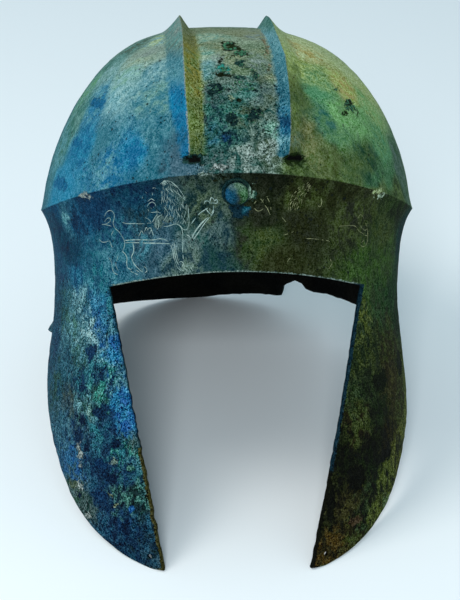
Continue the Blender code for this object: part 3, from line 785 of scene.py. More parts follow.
# Crisp marks over all that: place, half width and half height in millimetres, pigment, and how much of the
# crust has flaked away there (or, below zero, how much it stands up).
MARKS = (
    ("x", "z", "across", "tall", "pigment", "flaked"),
    # bowl, ridges and channel
    (-67, 124, 3.2, 2.0, "azure", 0.05), (-77, 105, 2.0, 2.0, "azure", 0.05), (-85, 84, 3.5, 3, "azure", 0),
    # The dark marks at the ridges' front ends, spruce, dark moss and black, are painted shadow in the recess
    # under each ridge's end.
    (-22, 100.8, 5.4, 2.4, "spruce", 0.05), (24.6, 100.8, 5.2, 2.6, "dark_moss", 0.05),
    (-22.4, 100.8, 3.8, 1.5, "black", 0.2), (24.6, 100.8, 4.2, 1.6, "black", 0.2),
    (15.0, 150, 0.8, 5, "clay", 0), (-2.6, 151.4, 3.9, 2.2, "dark_moss", -0.2),
    (2, 148.2, 3.6, 1.5, "dark_moss", -0.2), (1.5, 143.4, 2.2, 1.2, "spruce", -0.1),
    (-7, 141.4, 2.6, 2.0, "verdigris", -0.2), (-8, 138.2, 2.4, 0.9, "black_moss", 0.2),
    (7, 140.6, 1.3, 1.0, "spruce", -0.1), (8.4, 138, 1.5, 1.4, "spruce", -0.1),
    (-0.6, 137.6, 1.1, 0.8, "spruce", 0.1), (1, 136.4, 1, 0.7, "spruce", 0.1),
    (5.6, 132.2, 2.6, 0.8, "deep_spruce", 0.2), (-9.5, 132, 2.6, 1.0, "deep_spruce", 0.2),
    (-13, 130, 1.6, 1.2, "deep_spruce", 0.1), (-0.6, 126.4, 2.2, 0.7, "black_moss", 0.2),
    (-9.6, 143, 0.8, 0.6, "black_moss", 0.1), (-7.6, 145.6, 0.7, 0.6, "black_moss", 0.1),
    (-3.6, 128.2, 1.1, 1.1, "lichen", -0.1), (-7, 110, 2.4, 1.8, "prussian", 0),
    (-4, 118, 3, 2.5, "deep_spruce", 0.15), (6, 121, 3.4, 2.5, "deep_spruce", 0.15),
    # The thin bone and chalk marks on the front of the fold are painted highlights where the fold's lip
    # catches the light.
    (-11, 97.5, 4.4, 1.2, "bone", 0), (-18, 94.5, 3, 0.9, "chalk", 0), (55, 124, 1.7, 1.7, "dark_moss", -0.2),
    (58, 121, 1.6, 1.4, "dark_moss", -0.2), (52, 121, 1.2, 1, "dark_moss", -0.2),
    # The thin bone, straw and lichen marks on the fold's sides are painted highlights where the fold catches
    # the light.
    (-71.5, 80.4, 2.8, 0.7, "bone", 0), (67, 83, 2.6, 0.8, "straw", 0), (71, 80.6, 2.0, 0.7, "lichen", 0),
    # brow band
    (-38, 70.8, 1.9, 2.8, "lead", 0), (-33.5, 71, 3, 1.2, "lead", 0), (-41.6, 80, 1.6, 1.2, "ink", 0),
    (-41.4, 77.8, 1.6, 1.3, "ink", 0), (-83, 67, 1.8, 3, "glaucous", 0), (4.4, 84.8, 0.8, 2.2, "cream", 0),
    (6.2, 85, 1.2, 1.6, "dark_jade", 0), (-8, 92, 4, 1.2, "black_moss", 0.1),
    # The night mark with its small teal touch just under the knob is painted shadow cast by the ball.
    (-0.6, 76.4, 4.4, 3.4, "night", 0), (1.8, 77.6, 1.2, 1.4, "teal", 0),
    # cheek guard, wearer's right: crust of azurite, flaked off in places
    (-60.5, 4.5, 1.8, 4, "cerulean", -0.15), (-58.6, -15, 1.2, 3, "cerulean", -0.2),
    (-55.8, -15, 1.4, 4, "cobalt", -0.2), (-54, -30, 2.0, 3, "cobalt", -0.2),
    (-83, -54, 1.8, 3.4, "azure", 0), (-66, -17, 1.8, 1.8, "verdigris", -0.2),
    (-70, -34, 2.2, 2.4, "aqua", -0.2), (-67, -38, 1.6, 1.2, "aqua", -0.2),
    (-72, -26, 1.2, 2.2, "sea_green", -0.2), (-56.5, -42.5, 1.8, 2.0, "aqua", -0.2),
    (-51.5, -49, 1.8, 1.6, "jade", -0.1), (-60, -47.5, 1.2, 1.4, "grey_green", -0.1),
    (-76.4, -49, 1.3, 5, "bone", 0), (-77, -66, 1.2, 2.6, "bone", 0), (-71.4, 2.6, 2.6, 4, "indigo", 0.6),
    (-68.6, 5.4, 1.2, 1.4, "navy", 0.3), (-66.4, -7, 1.6, 2.6, "navy", 0.4),
    (-69, -9, 1.2, 1.4, "prussian", 0.2), (-60.4, -9, 1.3, 2.6, "navy", 0.3),
    (-66.5, -25, 3.2, 3.2, "navy", 0.6), (-62.4, -22, 1.2, 1.6, "navy", 0.3),
    (-74.6, -16, 1.8, 1.6, "navy", 0.3), (-76, -31, 1.6, 2.2, "ink", 0.4), (-78, -41, 1.8, 3, "navy", 0.4),
    (-73.6, -43, 1.6, 3, "ink", 0.4), (-59, -38.5, 3, 2.0, "ink", 0.3), (-66, -51, 4, 2.4, "indigo", 0.3),
    (-61, -56, 3.2, 2.2, "ink", 0.3), (-66, -66, 3.6, 2.8, "indigo", 0.3), (-54, -80, 2.4, 2.4, "ink", 0.3),
    (-52, -69, 1.4, 1.2, "cobalt", -0.1), (-80, -66, 2.0, 2.0, "sage", -0.1),
    (-78, -70, 1.4, 1.1, "ink", 0.2), (-73, -79, 1.3, 1.2, "bone", 0), (-61, -65, 1.0, 0.8, "khaki", 0),
    (-59, -69.5, 0.9, 0.8, "khaki", 0),
    # cheek guard, wearer's left
    (59, -57, 5, 6.4, "pitch", 0.4), (76, -51, 3.4, 3.6, "pitch", 0.3), (45, -66, 2.4, 9, "pitch", 0.3),
    (66, -64, 1.6, 2.0, "moss", -0.1), (77, -75, 2.0, 3, "olive", -0.1), (63, -83, 1.6, 1.4, "moss", -0.1),
    (58, -79, 3, 2.2, "rust_brown", 0.1), (73, -13, 5, 5, "black_moss", 0.2),
    (88, -10, 2.6, 7, "black_moss", 0.2), (52, -92, 3, 2, "tan", 0),
)

# Rubbed or stained edges of the cheek guards: from and to height, and how wide the line is, in millimetres.
WORN_EDGES = (
    ("side", "edge", "top", "bottom", "wide", "pigment"),
    ("right", "front", -38, -99, 0.9, "tan"), ("right", "rear", -66, -99, 0.5, "grey_green"),
    ("left", "rear", -36, -99, 0.9, "dark_olive"), ("left", "front", 38, -10, 0.7, "night"),
    ("left", "front", -10, -50, 0.6, "night"), ("left", "front", -50, -99, 0.7, "pitch"),
)

# What the far side wears, drawn at random: blue on the wearer's right, green on the left, pale over the
# crown. A far patch above the fold lies on two parts, and counts for two.
FAR_PATCHES = {
    "right": (
        ("azure", "blue"), ("petrol", "grey_teal"), ("teal", "mist"), ("navy", "petrol"),
        ("dark_petrol", "turquoise"),
    ),
    "left": (
        ("fern", "leaf"), ("forest", "fern"), ("moss", "moss_light"), ("deep_green", "jade"),
        ("dark_olive", "ochre"),
    ),
    "crown": (
        ("cream", "lichen"), ("mist", "ice"), ("sea_green", "mint"), ("jade", "sea_green"),
        ("leaf", "yellow_green"),
    ),
}
FAR_FROM_Y = 12 * MM
FAR_CROWN_Z = 138 * MM
FAR_COUNT = 132


def pigment(name):
    """The pigment's red, green and blue as light, not as steps."""
    step = np.array(PIGMENTS[name]) / 255
    return np.where(step < 0.04045, step / 12.92, ((step + 0.055) / 1.055) ** 2.4)


def ground_and_bloom(names):
    return np.concatenate([pigment(name) for name in names])


def wander(points, lumps, reach, seed=0.0):
    """Points led astray by up to about reach, so that what is laid out round gets a natural outline."""
    led = [noise.noise_vector(p) for p in (points / lumps + seed).tolist()]
    return points + reach * np.array([v[:] for v in led])


noise.seed_set(7)  # without a seed, noise_vector takes one from the clock
drifted = BVHTree.FromPolygons([v.co for v in flat_mesh.vertices], [p.vertices for p in flat_mesh.polygons])
patches_on = {
    part: [(surface_at(drifted, x * MM, z * MM)[0], 1, ground_and_bloom(names)) for x, z, *names in patches]
    for part, patches in PATCHES.items()
}
draw = np.random.default_rng(7)
inside_bowl = Vector((0, 0, 50 * MM))
far_count = 0
while far_count < FAR_COUNT:
    way = Vector((*draw.uniform(-1, 1, 2), draw.uniform(-0.75, 1)))
    place = drifted.ray_cast(inside_bowl + way.normalized() * 0.5, -way)[0]
    if place is None or place.y < FAR_FROM_Y:
        continue
    if place.z > FAR_CROWN_Z:
        family = "crown"
    else:
        family = "right" if place.x + draw.normal(0, 12 * MM) < 0 else "left"
    names = FAR_PATCHES[family][draw.integers(5)]
    patch = (place, draw.uniform(0.9, 2.2), ground_and_bloom(names))
    lies_on = ("bowl", "channel") if place.z > FOLD_SIDE_Z else ("wall",)
    for part in lies_on:
        patches_on[part].append(patch)
    far_count += len(lies_on)
patches_on["brow"] = patches_on["bowl"] + patches_on["channel"]

outer = coords(shell_mesh)[:outer_count]
fold = fold_z(turns_of(plan))
above_fold = plan[:, 2] > fold - 0.1 * MM
from_middle = np.abs(plan[:, 0])
foot_in, foot_out, _ = ridge_feet(plan[:, 1])
on_ridge = above_fold & (plan[:, 2] > fold + FLANKS_FROM * (CROWN_Z - fold))
parts = {
    "brow": above_fold & ~on_ridge,
    "channel": on_ridge & (from_middle < foot_in),
    "bowl": on_ridge & (from_middle >= foot_in),
    "wall": ~above_fold,
}
strayed = wander(wander(outer, 14 * MM, 5 * MM), 4.2 * MM, 1.8 * MM, 20)
down_cheek = falling(outer[:, 2], 48, 30)
mottled = wander(wander(outer, 5 * MM, 6 * MM, 24), 2.4 * MM, 7 * MM, 28)
strayed += (mottled - outer) * down_cheek[:, None]
patina = np.zeros((outer_count, 6))
for part, here in parts.items():
    weight = np.zeros(here.sum())
    for place, size, colours in patches_on[part]:
        away = ((strayed[here] - np.array(place)) ** 2).sum(axis=1) / (PATCH_REACH * size) ** 2
        nearness = 1 / (PATCH_CORE + away) ** PATCH_FALL
        patina[here] += nearness[:, None] * colours
        weight += nearness
    patina[here] /= weight[:, None]
jitter = noise_at(outer, 3 * MM, 30)
for (side, flank), stops in FLANKS.items():
    here = on_ridge & ((plan[:, 0] < 0) == (side == "right"))
    stained = FOOT_STAIN[side]
    here &= (from_middle > foot_in - stained) & (from_middle < foot_out)
    here &= (from_middle < RIDGE_CREST) if flank == "inner" else (from_middle >= RIDGE_CREST)
    heights = [stop[0] * MM for stop in stops][::-1]
    colours = np.array([ground_and_bloom(stop[1:]) for stop in stops][::-1])
    level = outer[here, 2] + 1.5 * MM * jitter[here]
    banded = np.stack([np.interp(level, heights, colours[:, k]) for k in range(6)], axis=-1)
    down_flank = (from_middle[here] - RIDGE_CREST) / (foot_out[here] - RIDGE_CREST) + 0.12 * jitter[here]
    if flank == "inner":
        past_foot = (foot_in[here] - from_middle[here]) / stained + 0.4 * jitter[here]
        cover = ease(1 - past_foot)
    elif side == "right":
        low_end = falling(outer[here, 2], 128, 24)
        cover = ease((1.0 - 0.42 * low_end - down_flank) / 0.2)
    else:
        cover = ease((0.95 - down_flank) / 0.6)
    patina[here] += cover[:, None] * (banded - patina[here])
cloud = noise_layers(outer, (0.5, 9, 40), (0.5, 3.2, 50))
below_fold = (fold - plan[:, 2]) / MM
# Painted shade: the band is darkened just under the fold, towards the front, where the fold's lip shades it.
painted_fold_shade = ~above_fold * ease(1.2 - below_fold / 9) * falling(from_middle, 70, 40) * (outer[:, 1] < 0)
patina *= ((1 + 0.16 * cloud) * (1 - 0.4 * painted_fold_shade))[:, None]

# Small marks lie over large ones. Each point keeps its topmost mark, and how deep inside the marks it is, in
# millimetres: this much for a point well outside them all.
OUTSIDE = -4.0
within = np.full(outer_count, OUTSIDE)
mark = patina[:, :3].copy()
flaked = np.zeros(outer_count)
front = outer[:, 1] < 20 * MM
strayed = wander(outer, 6 * MM, 1.4 * MM, 60)
for x, z, across, tall, name, depth in sorted(MARKS[1:], key=lambda row: -row[2] * row[3]):
    away = np.hypot((strayed[:, 0] / MM - x) / across, (strayed[:, 2] / MM - z) / tall)
    inside_by = np.where(front, (1 - away) * min(across, tall), OUTSIDE)
    topmost = inside_by > np.minimum(within, 0)
    within = np.maximum(within, inside_by)
    mark[topmost] = pigment(name)
    flaked += ease(inside_by / 0.9 + 0.5) * depth

# Fine lines along the free edges and the ridge crests: mineral, stain and rubbing, and on the upper free
# edges and the crests also a painted highlight where they catch the light.
rim_stain_and_highlight = np.tile(pigment("chalk"), (outer_count, 1))
rim_within = np.full(outer_count, OUTSIDE)
line_jitter = noise_layers(outer, (0.5, 6, 90), (0.5, 2.2, 91))
lines = [
    (from_edge, (outer[:, 2] > 37 * MM) & (outer[:, 1] < 0), 0.5, "chalk"),
    (np.abs(from_middle - RIDGE_CREST), on_ridge & (outer[:, 1] < 0), 0.1, "bone"),
]
at_front = np.abs(outer[:, 0]) < CHEEK_FRONT_X + CHEEK_FRONT_SLOPE * outer[:, 2] + 3 * MM
for side, edge, top, bottom, wide, name in WORN_EDGES[1:]:
    here = (outer[:, 2] < top * MM) & (outer[:, 2] > bottom * MM) & ((outer[:, 0] < 0) == (side == "right"))
    lines.append((from_edge, here & front & (at_front == (edge == "front")), wide, name))
for distance, here, wide, name in lines:
    rim_within[here] = np.clip(wide + 0.5 * line_jitter - distance / MM, OUTSIDE, -OUTSIDE)[here]
    rim_stain_and_highlight[here] = pigment(name)

# Grain: how coarse the crust is. It is fine over the bowl, coarser in the channel and below the fold, and
# rough on the guards.
grain = np.where(above_fold, 0.3, 0.48) + 0.47 * down_cheek
in_channel = above_fold * falling(from_middle, 24, 6) * falling(outer[:, 1], 30, 30)
grain += in_channel * (0.08 + 0.28 * falling(outer[:, 2], 150, 20))
grain += 0.15 * noise_at(outer, 8 * MM, 105)

points = coords(shell_mesh)
outward = normals(shell_mesh)
# How deep the crust is gone where it has flaked off quite, in millimetres.
FLAKED_DEPTH = 0.62
crust = noise_layers(outer, (0.16, 4.2, 110), (0.14, 2.4, 120))
away_from_edge = ease(from_edge / (1.5 * MM) + 0.3)
lift = (crust * (0.25 + grain) - flaked * FLAKED_DEPTH) * MM * away_from_edge
points[:outer_count] += outward[:outer_count] * lift[:, None]

# The free edges are rounded over: each rim corner is drawn in from both of its faces.
for a, b in rim_pairs:
    through = points[b] - points[a]
    through /= np.linalg.norm(through)
    points[a] += through * EDGE_ROUND
    points[b] -= through * EDGE_ROUND
move_to(shell_mesh, points)

# The inside is near black: dark corrosion, darkened further as painted shade for the hollow of the helmet.
dim = ease(0.5 + 1.3 * noise_at(points[outer_count:], 16 * MM, 130))[:, None]
inside_shade_colour = pigment("black") + dim * (pigment("lamp") - pigment("black"))
laid_colours = np.concatenate([np.hstack([patina, mark, rim_stain_and_highlight]), np.tile(inside_shade_colour, 4)])
laid_grain = np.concatenate([grain, np.full(len(inside_shade_colour), 0.5)])
laid_depths = np.full((len(points), 2), OUTSIDE)
laid_depths[:outer_count] = np.column_stack([within, rim_within])
outer_rim, inner_rim = rim_pairs.min(axis=1), rim_pairs.max(axis=1)
laid_depths[inner_rim, 1] = rim_within[outer_rim]
laid_colours[inner_rim, 9:] = rim_stain_and_highlight[outer_rim]


class Finish:
    """A material and its nodes. A method that lays nodes hands back the socket with their result."""

    def __init__(self, name, **plain):
        self.material = bpy.data.materials.new(name)
        self.material.use_nodes = True
        self.tree = self.material.node_tree
        self.surface = self.tree.nodes["Principled BSDF"]
        self.feed(self.surface, {socket.replace("_", " "): value for socket, value in plain.items()})

    def feed(self, node, inputs):
        """Gives each named input a plain value, or feeds it from another node's socket."""
        for key, value in inputs.items():
            if isinstance(value, bpy.types.NodeSocket):
                self.tree.links.new(value, node.inputs[key])
            else:
                node.inputs[key].default_value = value

    def node(self, kind, inputs=None, **settings):
        made = self.tree.nodes.new("ShaderNode" + kind)
        for key, value in settings.items():
            setattr(made, key, value)
        self.feed(made, inputs or {})
        return made

    def laid(self, name, output="Fac"):
        """What was laid on the mesh's points under that name."""
        return self.node("Attribute", attribute_name=name).outputs[output]

    def noise(self, scale, detail=3.0, roughness=0.6, distortion=0.0, drawn=1.0):
        """Cloudy noise; drawn below 1 draws it out upwards."""
        where = self.node("TexCoord").outputs["Object"]
        if drawn != 1.0:
            where = self.node("VectorMath", {0: where, 1: (1, 1, drawn)}, operation="MULTIPLY").outputs[0]
        values = {"Vector": where, "Scale": scale, "Detail": detail, "Roughness": roughness}
        return self.node("TexNoise", {**values, "Distortion": distortion}).outputs["Fac"]

    def stretch(self, value, low, high, to_low=0.0, to_high=1.0):
        """value from low..high, laid over to_low..to_high and held there."""
        names = ("Value", "From Min", "From Max", "To Min", "To Max")
        return self.node("MapRange", dict(zip(names, (value, low, high, to_low, to_high)))).outputs[0]

    def math(self, operation, a, b=0.0):
        return self.node("Math", {0: a, 1: b}, operation=operation).outputs[0]

    def mix(self, factor, a, b, blend_type="MIX"):
        return self.node("Mix", {0: factor, 6: a, 7: b}, data_type="RGBA", blend_type=blend_type).outputs[2]

    def grey(self, value):
        return self.node("CombineColor", {0: value, 1: value, 2: value}).outputs[0]

    def spots(self, scale, size, share):
        """Round spots up to size of a cell wide, in that share of the cells."""
        where = self.node("TexCoord").outputs["Object"]
        cells = self.node("TexVoronoi", {"Vector": where, "Scale": scale})
        pick = self.node("SeparateColor", {0: cells.outputs["Color"]})
        chosen = self.math("LESS_THAN", pick.outputs[0], share)
        width = self.stretch(pick.outputs[1], 0.0, 1.0, 0.35 * size, size)
        inside = self.math("SUBTRACT", width, cells.outputs["Distance"])
        return self.math("MULTIPLY", self.stretch(inside, 0.0, 0.12), chosen)

    def bump(self, layers):
        """layers: (height, depth in millimetres), each laid over the last."""
        last = None
        for height, depth in layers:
            values = {"Height": height, "Distance": depth * MM, "Strength": 1.0}
            if last:
                values["Normal"] = last
            last = self.node("Bump", values).outputs[0]
        self.feed(self.surface, {"Normal": last})


# What is laid on the mesh's points for the bronze.
COLOUR_LAYERS = ("ground", "bloom", "mark", "rim_stain_and_highlight")
PLAIN_LAYERS = ("grain", "within", "rim_within")


def patinated_bronze(name):
    """Corroded bronze: ground and bloom in ragged patches, with crisp marks and rim lines over them."""
    bronze = Finish(name, Metallic=0.0, Specular_IOR_Level=0.03)
    ground, bloom, mark, rim_stain_and_highlight = (bronze.laid(layer, "Color") for layer in COLOUR_LAYERS)
    coarse, within, rim_within = (bronze.laid(layer) for layer in PLAIN_LAYERS)

    lumps = bronze.noise(230, 8, 0.66, 0.6, drawn=0.6)
    softness = bronze.stretch(coarse, 0.3, 1.0, 0.09, 0.05)
    low, high = bronze.math("SUBTRACT", 0.5, softness), bronze.math("ADD", 0.5, softness)
    colour = bronze.mix(bronze.stretch(lumps, low, high), ground, bloom)

    ragged = bronze.stretch(bronze.noise(300, 7, 0.68), 0.25, 0.75, -2.2, 2.2)
    marked = bronze.stretch(bronze.math("ADD", within, ragged), -0.25, 0.25)
    colour = bronze.mix(marked, colour, mark)
    frayed = bronze.stretch(bronze.noise(900, 4, 0.7), 0.3, 0.7, -0.5, 0.5)
    rimmed = bronze.stretch(bronze.math("ADD", rim_within, frayed), -0.15, 0.15)
    colour = bronze.mix(rimmed, colour, rim_stain_and_highlight)

    speckle = 0.0
    for scale, detail, share in ((1400, 2, 1.25), (650, 3, 0.75)):
        swing = bronze.math("MULTIPLY", coarse, share)
        fleck = bronze.stretch(bronze.noise(scale, detail, 0.7), 0.37, 0.63, -1.0, 1.0)
        speckle = bronze.math("ADD", speckle, bronze.math("MULTIPLY", fleck, swing))
    crack = bronze.math("ABSOLUTE", bronze.math("SUBTRACT", bronze.noise(170, 6, 0.62, 0.4), 0.5))
    speckle = bronze.math("ADD", speckle, bronze.stretch(crack, 0.0, 0.012, -0.35, 0.0))
    half_speckle = bronze.math("MULTIPLY", speckle, 0.5)
    brightness = bronze.node("RGBToBW", {0: colour}).outputs[0]
    colour = bronze.mix(1.0, colour, bronze.grey(bronze.math("ADD", 1.0, half_speckle)), "MULTIPLY")
    colour = bronze.mix(1.0, colour, bronze.grey(bronze.math("MULTIPLY", brightness, half_speckle)), "ADD")
    colour = bronze.node("VectorMath", {0: colour, 1: (0.001, 0.001, 0.001)}, operation="MAXIMUM").outputs[0]
    pinholes = bronze.math("MAXIMUM", bronze.spots(300, 0.3, 0.16), bronze.spots(620, 0.34, 0.24))
    colour = bronze.mix(bronze.math("MULTIPLY", pinholes, 0.82), colour, (0.004, 0.008, 0.009, 1))
    roughness = bronze.stretch(lumps, 0.3, 0.7, 0.62, 0.85)
    bronze.feed(bronze.surface, {"Base Color": colour, "Roughness": roughness})
    unpitted = bronze.math("SUBTRACT", 1.0, pinholes)
    unmarked = bronze.math("SUBTRACT", 1.0, marked)
    bronze.bump([(unpitted, 0.25), (unmarked, 0.2), (speckle, 0.12), (lumps, 0.35)])
    return bronze.material


def patinate(mesh, colours, grains, depths):
    """Lays the patina on the mesh's points: colours side by side, and depths within marks and rim lines."""
    for k, name in enumerate(COLOUR_LAYERS):
        layer = np.column_stack([colours[:, 3 * k : 3 * k + 3], np.ones(len(colours))]).astype(np.float32)
        mesh.attributes.new(name, "FLOAT_COLOR", "POINT").data.foreach_set("color", layer.ravel())
    for name, values in zip(PLAIN_LAYERS, (grains, *depths.T)):
        mesh.attributes.new(name, "FLOAT", "POINT").data.foreach_set("value", values.astype(np.float32))


patinate(shell_mesh, laid_colours, laid_grain, laid_depths)

# What is fixed or cut on the shell later is laid on its outer face, found here while it is still as worn.
outer_faces = [p.vertices[:] for p in flat_mesh.polygons]
face_of_shell = BVHTree.FromPolygons(points[:outer_count].tolist(), outer_faces)

shell_mesh.transform(rest)
standing = coords(shell_mesh)
standing[:, 2] = np.maximum(standing[:, 2], 0)
move_to(shell_mesh, standing)

# The inner side needs fewer points than the outer.
full = new_object("helmet_shell_full", shell_mesh, patinated_bronze("bronze_sheet_patina"))
inner_only = np.setdiff1d(np.arange(outer_count, len(points)), rim_points)
full.vertex_groups.new(name="inner").add(inner_only.tolist(), 1.0, "REPLACE")
thin = full.modifiers.new("fewer_inside", "DECIMATE")
thin.vertex_group = "inner"
thin.ratio = 0.86
shell_mesh = evaluated_mesh(full, "helmet_shell_bronze")
shell_mesh.shade_smooth()
helmet_shell = new_object("helmet_shell_bronze", shell_mesh)
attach(helmet_shell, "root")
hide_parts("helmet_shell")
bpy.data.meshes.remove(flat_mesh)

# ---------------------------------------------------------------------------------------------------------
# Brow knob: a turned bronze rivet with a ball head on a dished collar. Its shank passes through the band and
# is spread inside. Its ball is painted blue on the cheek towards the wearer's right and green on the other,
# patina tinted partly as painted coloured light from either side, with a painted highlight on top and painted
# shade beneath.
# ---------------------------------------------------------------------------------------------------------

KNOB_R = 5.3 * MM
KNOB_HEIGHT = 10.2 * MM
KNOB_NECK_R = 4.4 * MM
COLLAR_R = 6.9 * MM
COLLAR = 1.2 * MM
COLLAR_DISH = 1.1 * MM
LIP_R = 0.6 * MM
SHANK_R = 1.9 * MM
TAIL_R = 3.4 * MM
TAIL = 1.0 * MM
SEAT = 0.45 * MM

knob_inset = float(wall_inset(0.0, KNOB_Z, True))
knob_foot = wall_points(np.arcsin(KNOB_X / (HALF_WIDTH - knob_inset)), KNOB_Z, True)
knob_lean = (float(wall_inset(0.0, KNOB_Z - MM, True)) - knob_inset) / MM
knob_axis = Vector((0, -1, -knob_lean)).normalized()
knob_across = Vector((1, 0, 0))
turned = Matrix((knob_across, knob_axis.cross(knob_across), knob_axis)).transposed().to_4x4()
knob_place = Matrix.Translation(knob_foot) @ turned

# Half the rivet's section, from the top of the ball to the middle of the tail.
ball = [(KNOB_R * math.sin(a), KNOB_HEIGHT - KNOB_R * (1 - math.cos(a))) for a in np.linspace(0, 2.0, 16)]
collar_mid = SEAT + COLLAR_DISH + 0.5 * COLLAR
lip_turns = np.linspace(0, math.pi, 7)
lip = [(COLLAR_R - LIP_R * (1 - math.sin(a)), collar_mid + LIP_R * math.cos(a)) for a in lip_turns]
tail_z = -SHEET - SEAT
profile = [
    *ball, (KNOB_NECK_R, SEAT + COLLAR + 0.5 * MM), (KNOB_NECK_R + 0.7 * MM, SEAT + COLLAR), *lip,
    (COLLAR_R - 2 * MM, SEAT + 0.3 * COLLAR_DISH), (SHANK_R + 0.3 * MM, SEAT), (SHANK_R, SEAT - 0.2 * MM),
    (SHANK_R, -SHEET - 0.2 * MM), (SHANK_R + 0.2 * MM, tail_z), (TAIL_R, tail_z),
    (TAIL_R, tail_z - 0.4 * TAIL), (TAIL_R * 0.8, tail_z - 0.8 * TAIL), (0, tail_z - TAIL),
]
shape = bmesh.new()
corners = [shape.verts.new((r, 0, z)) for r, z in profile]
section = corners + [shape.edges.new(pair) for pair in zip(corners, corners[1:])]
bmesh.ops.spin(shape, geom=section, axis=(0, 0, 1), cent=(0, 0, 0), angle=2 * math.pi, steps=72)
bmesh.ops.remove_doubles(shape, verts=shape.verts, dist=0.00001)
bmesh.ops.recalc_face_normals(shape, faces=shape.faces)
knob_mesh = mesh_of(shape, "brow_rivet")

points = coords(knob_mesh)
worn = noise_layers(points, (0.16, 2.6, 5), (0.07, 0.9, 6))
move_to(knob_mesh, points + normals(knob_mesh) * (worn * MM * (points[:, 2] > SEAT))[:, None])
led = wander(points, 2.2 * MM, 0.8 * MM, 12) / KNOB_R
on_collar = falling(points[:, 2], 3.2, 0.6)
knob_colour = np.tile(pigment("umber"), (len(points), 1))
# Blue towards the wearer's right and green towards the left, partly painted coloured light; grey green on top
# as a painted highlight; night on the underside as painted shade.
for cover, name in (
    (ease(0.5 - led[:, 0] * 1.6), "dark_petrol"),
    (ease(-0.5 - led[:, 0] * 1.6), "deep_blue"),
    (ease(led[:, 0] * 1.8 - 0.1), "forest"),
    (ease((led[:, 0] + led[:, 1] - 0.3) * 1.6) * 0.7, "fern"),
    (ease((led[:, 1] - 0.45) * 3) * 0.5, "grey_green"),
    (ease((-led[:, 1] - 0.35) * 2), "night"),
    (on_collar, "deep_spruce"),
    (on_collar * rising(points[:, 0], 5.6, 0.8), "cream"),
):
    knob_colour += cover[:, None] * (pigment(name) - knob_colour)
laid_colours = np.hstack([knob_colour, knob_colour * 1.1, knob_colour, knob_colour])
patinate(knob_mesh, laid_colours, np.full(len(points), 0.5), np.full((len(points), 2), OUTSIDE))
knob_mesh.transform(rest @ knob_place)
knob_mesh.shade_smooth()
brow_rivet = new_object("brow_rivet", knob_mesh, patinated_bronze("brow_rivet_patina"))
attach(brow_rivet, "root")
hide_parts("brow_knob")

# ---------------------------------------------------------------------------------------------------------
# Engraving: on the band, either side of the knob, a lion is cut with a fine graver. It lifts a forepaw and
# turns its head back. Pale mineral fills the cuts. The lion on the wearer's left is almost worn away.
# ---------------------------------------------------------------------------------------------------------

# Lines of the lion on the wearer's right, across and up in millimetres: first the deep cuts, then the fine.
LION_DEEP = (
    # back and belly
    ((-53.8, 60.2), (-50.2, 60.9), (-46, 61.3), (-41, 61.6), (-37.6, 62.4), (-35.4, 62.3), (-33.6, 61.4)),
    ((-53.6, 59.1), (-50, 59.6), (-44, 59.9), (-37, 60.3), (-32.6, 60.3)),
    # hind legs
    ((-55.1, 54.9), (-53.6, 53.4), (-52.9, 51.6), (-53.1, 49.2), (-52.5, 47.1), (-50.8, 46.4)),
    ((-50.2, 59.6), (-49.7, 57.3), (-49.8, 55), (-50.7, 52.6), (-49.9, 49.9), (-48.4, 48.1), (-47, 46.8),
     (-45.5, 45.8)),
    # standing foreleg and its paw
    ((-27.9, 69.2), (-27, 66.4), (-26.8, 62.6), (-26.9, 57.4), (-26.6, 53.4)),
    ((-31.6, 60.4), (-30.5, 56), (-29.8, 52.6), (-28.8, 50.6)),
    ((-28.8, 51.6), (-27.4, 52.2), (-26.6, 51.2), (-27.2, 49.8)),
    # lifted foreleg and its paw
    ((-22.8, 63.4), (-20.8, 67), (-18.6, 70), (-16.2, 72.8), (-13.8, 74.4), (-12.5, 77.2)),
    ((-22, 62.8), (-19.6, 66.4), (-16.9, 70.6), (-14.7, 73.5)),
    ((-22.9, 70.3), (-21.4, 72.5), (-19, 75.4), (-16.8, 77), (-15.4, 78)),
    ((-17.1, 79.8), (-16.6, 81.1), (-15.4, 81.2), (-14.6, 80.4)),
    ((-14.6, 80.4), (-14, 82.7), (-12.9, 82.4), (-12.4, 81.2)),
    ((-12.4, 81.2), (-11.4, 82), (-11, 80.6), (-12, 80)), ((-15.8, 79), (-14.6, 78.2), (-14.4, 76.4)),
    ((-12.6, 79.2), (-12.9, 77.2), (-13.6, 75.6)), ((-14.8, 80.2), (-13.4, 80.3), (-11.6, 80.2)),
    ((-16.4, 77.8), (-15, 75.8), (-13.9, 74.8)),
)
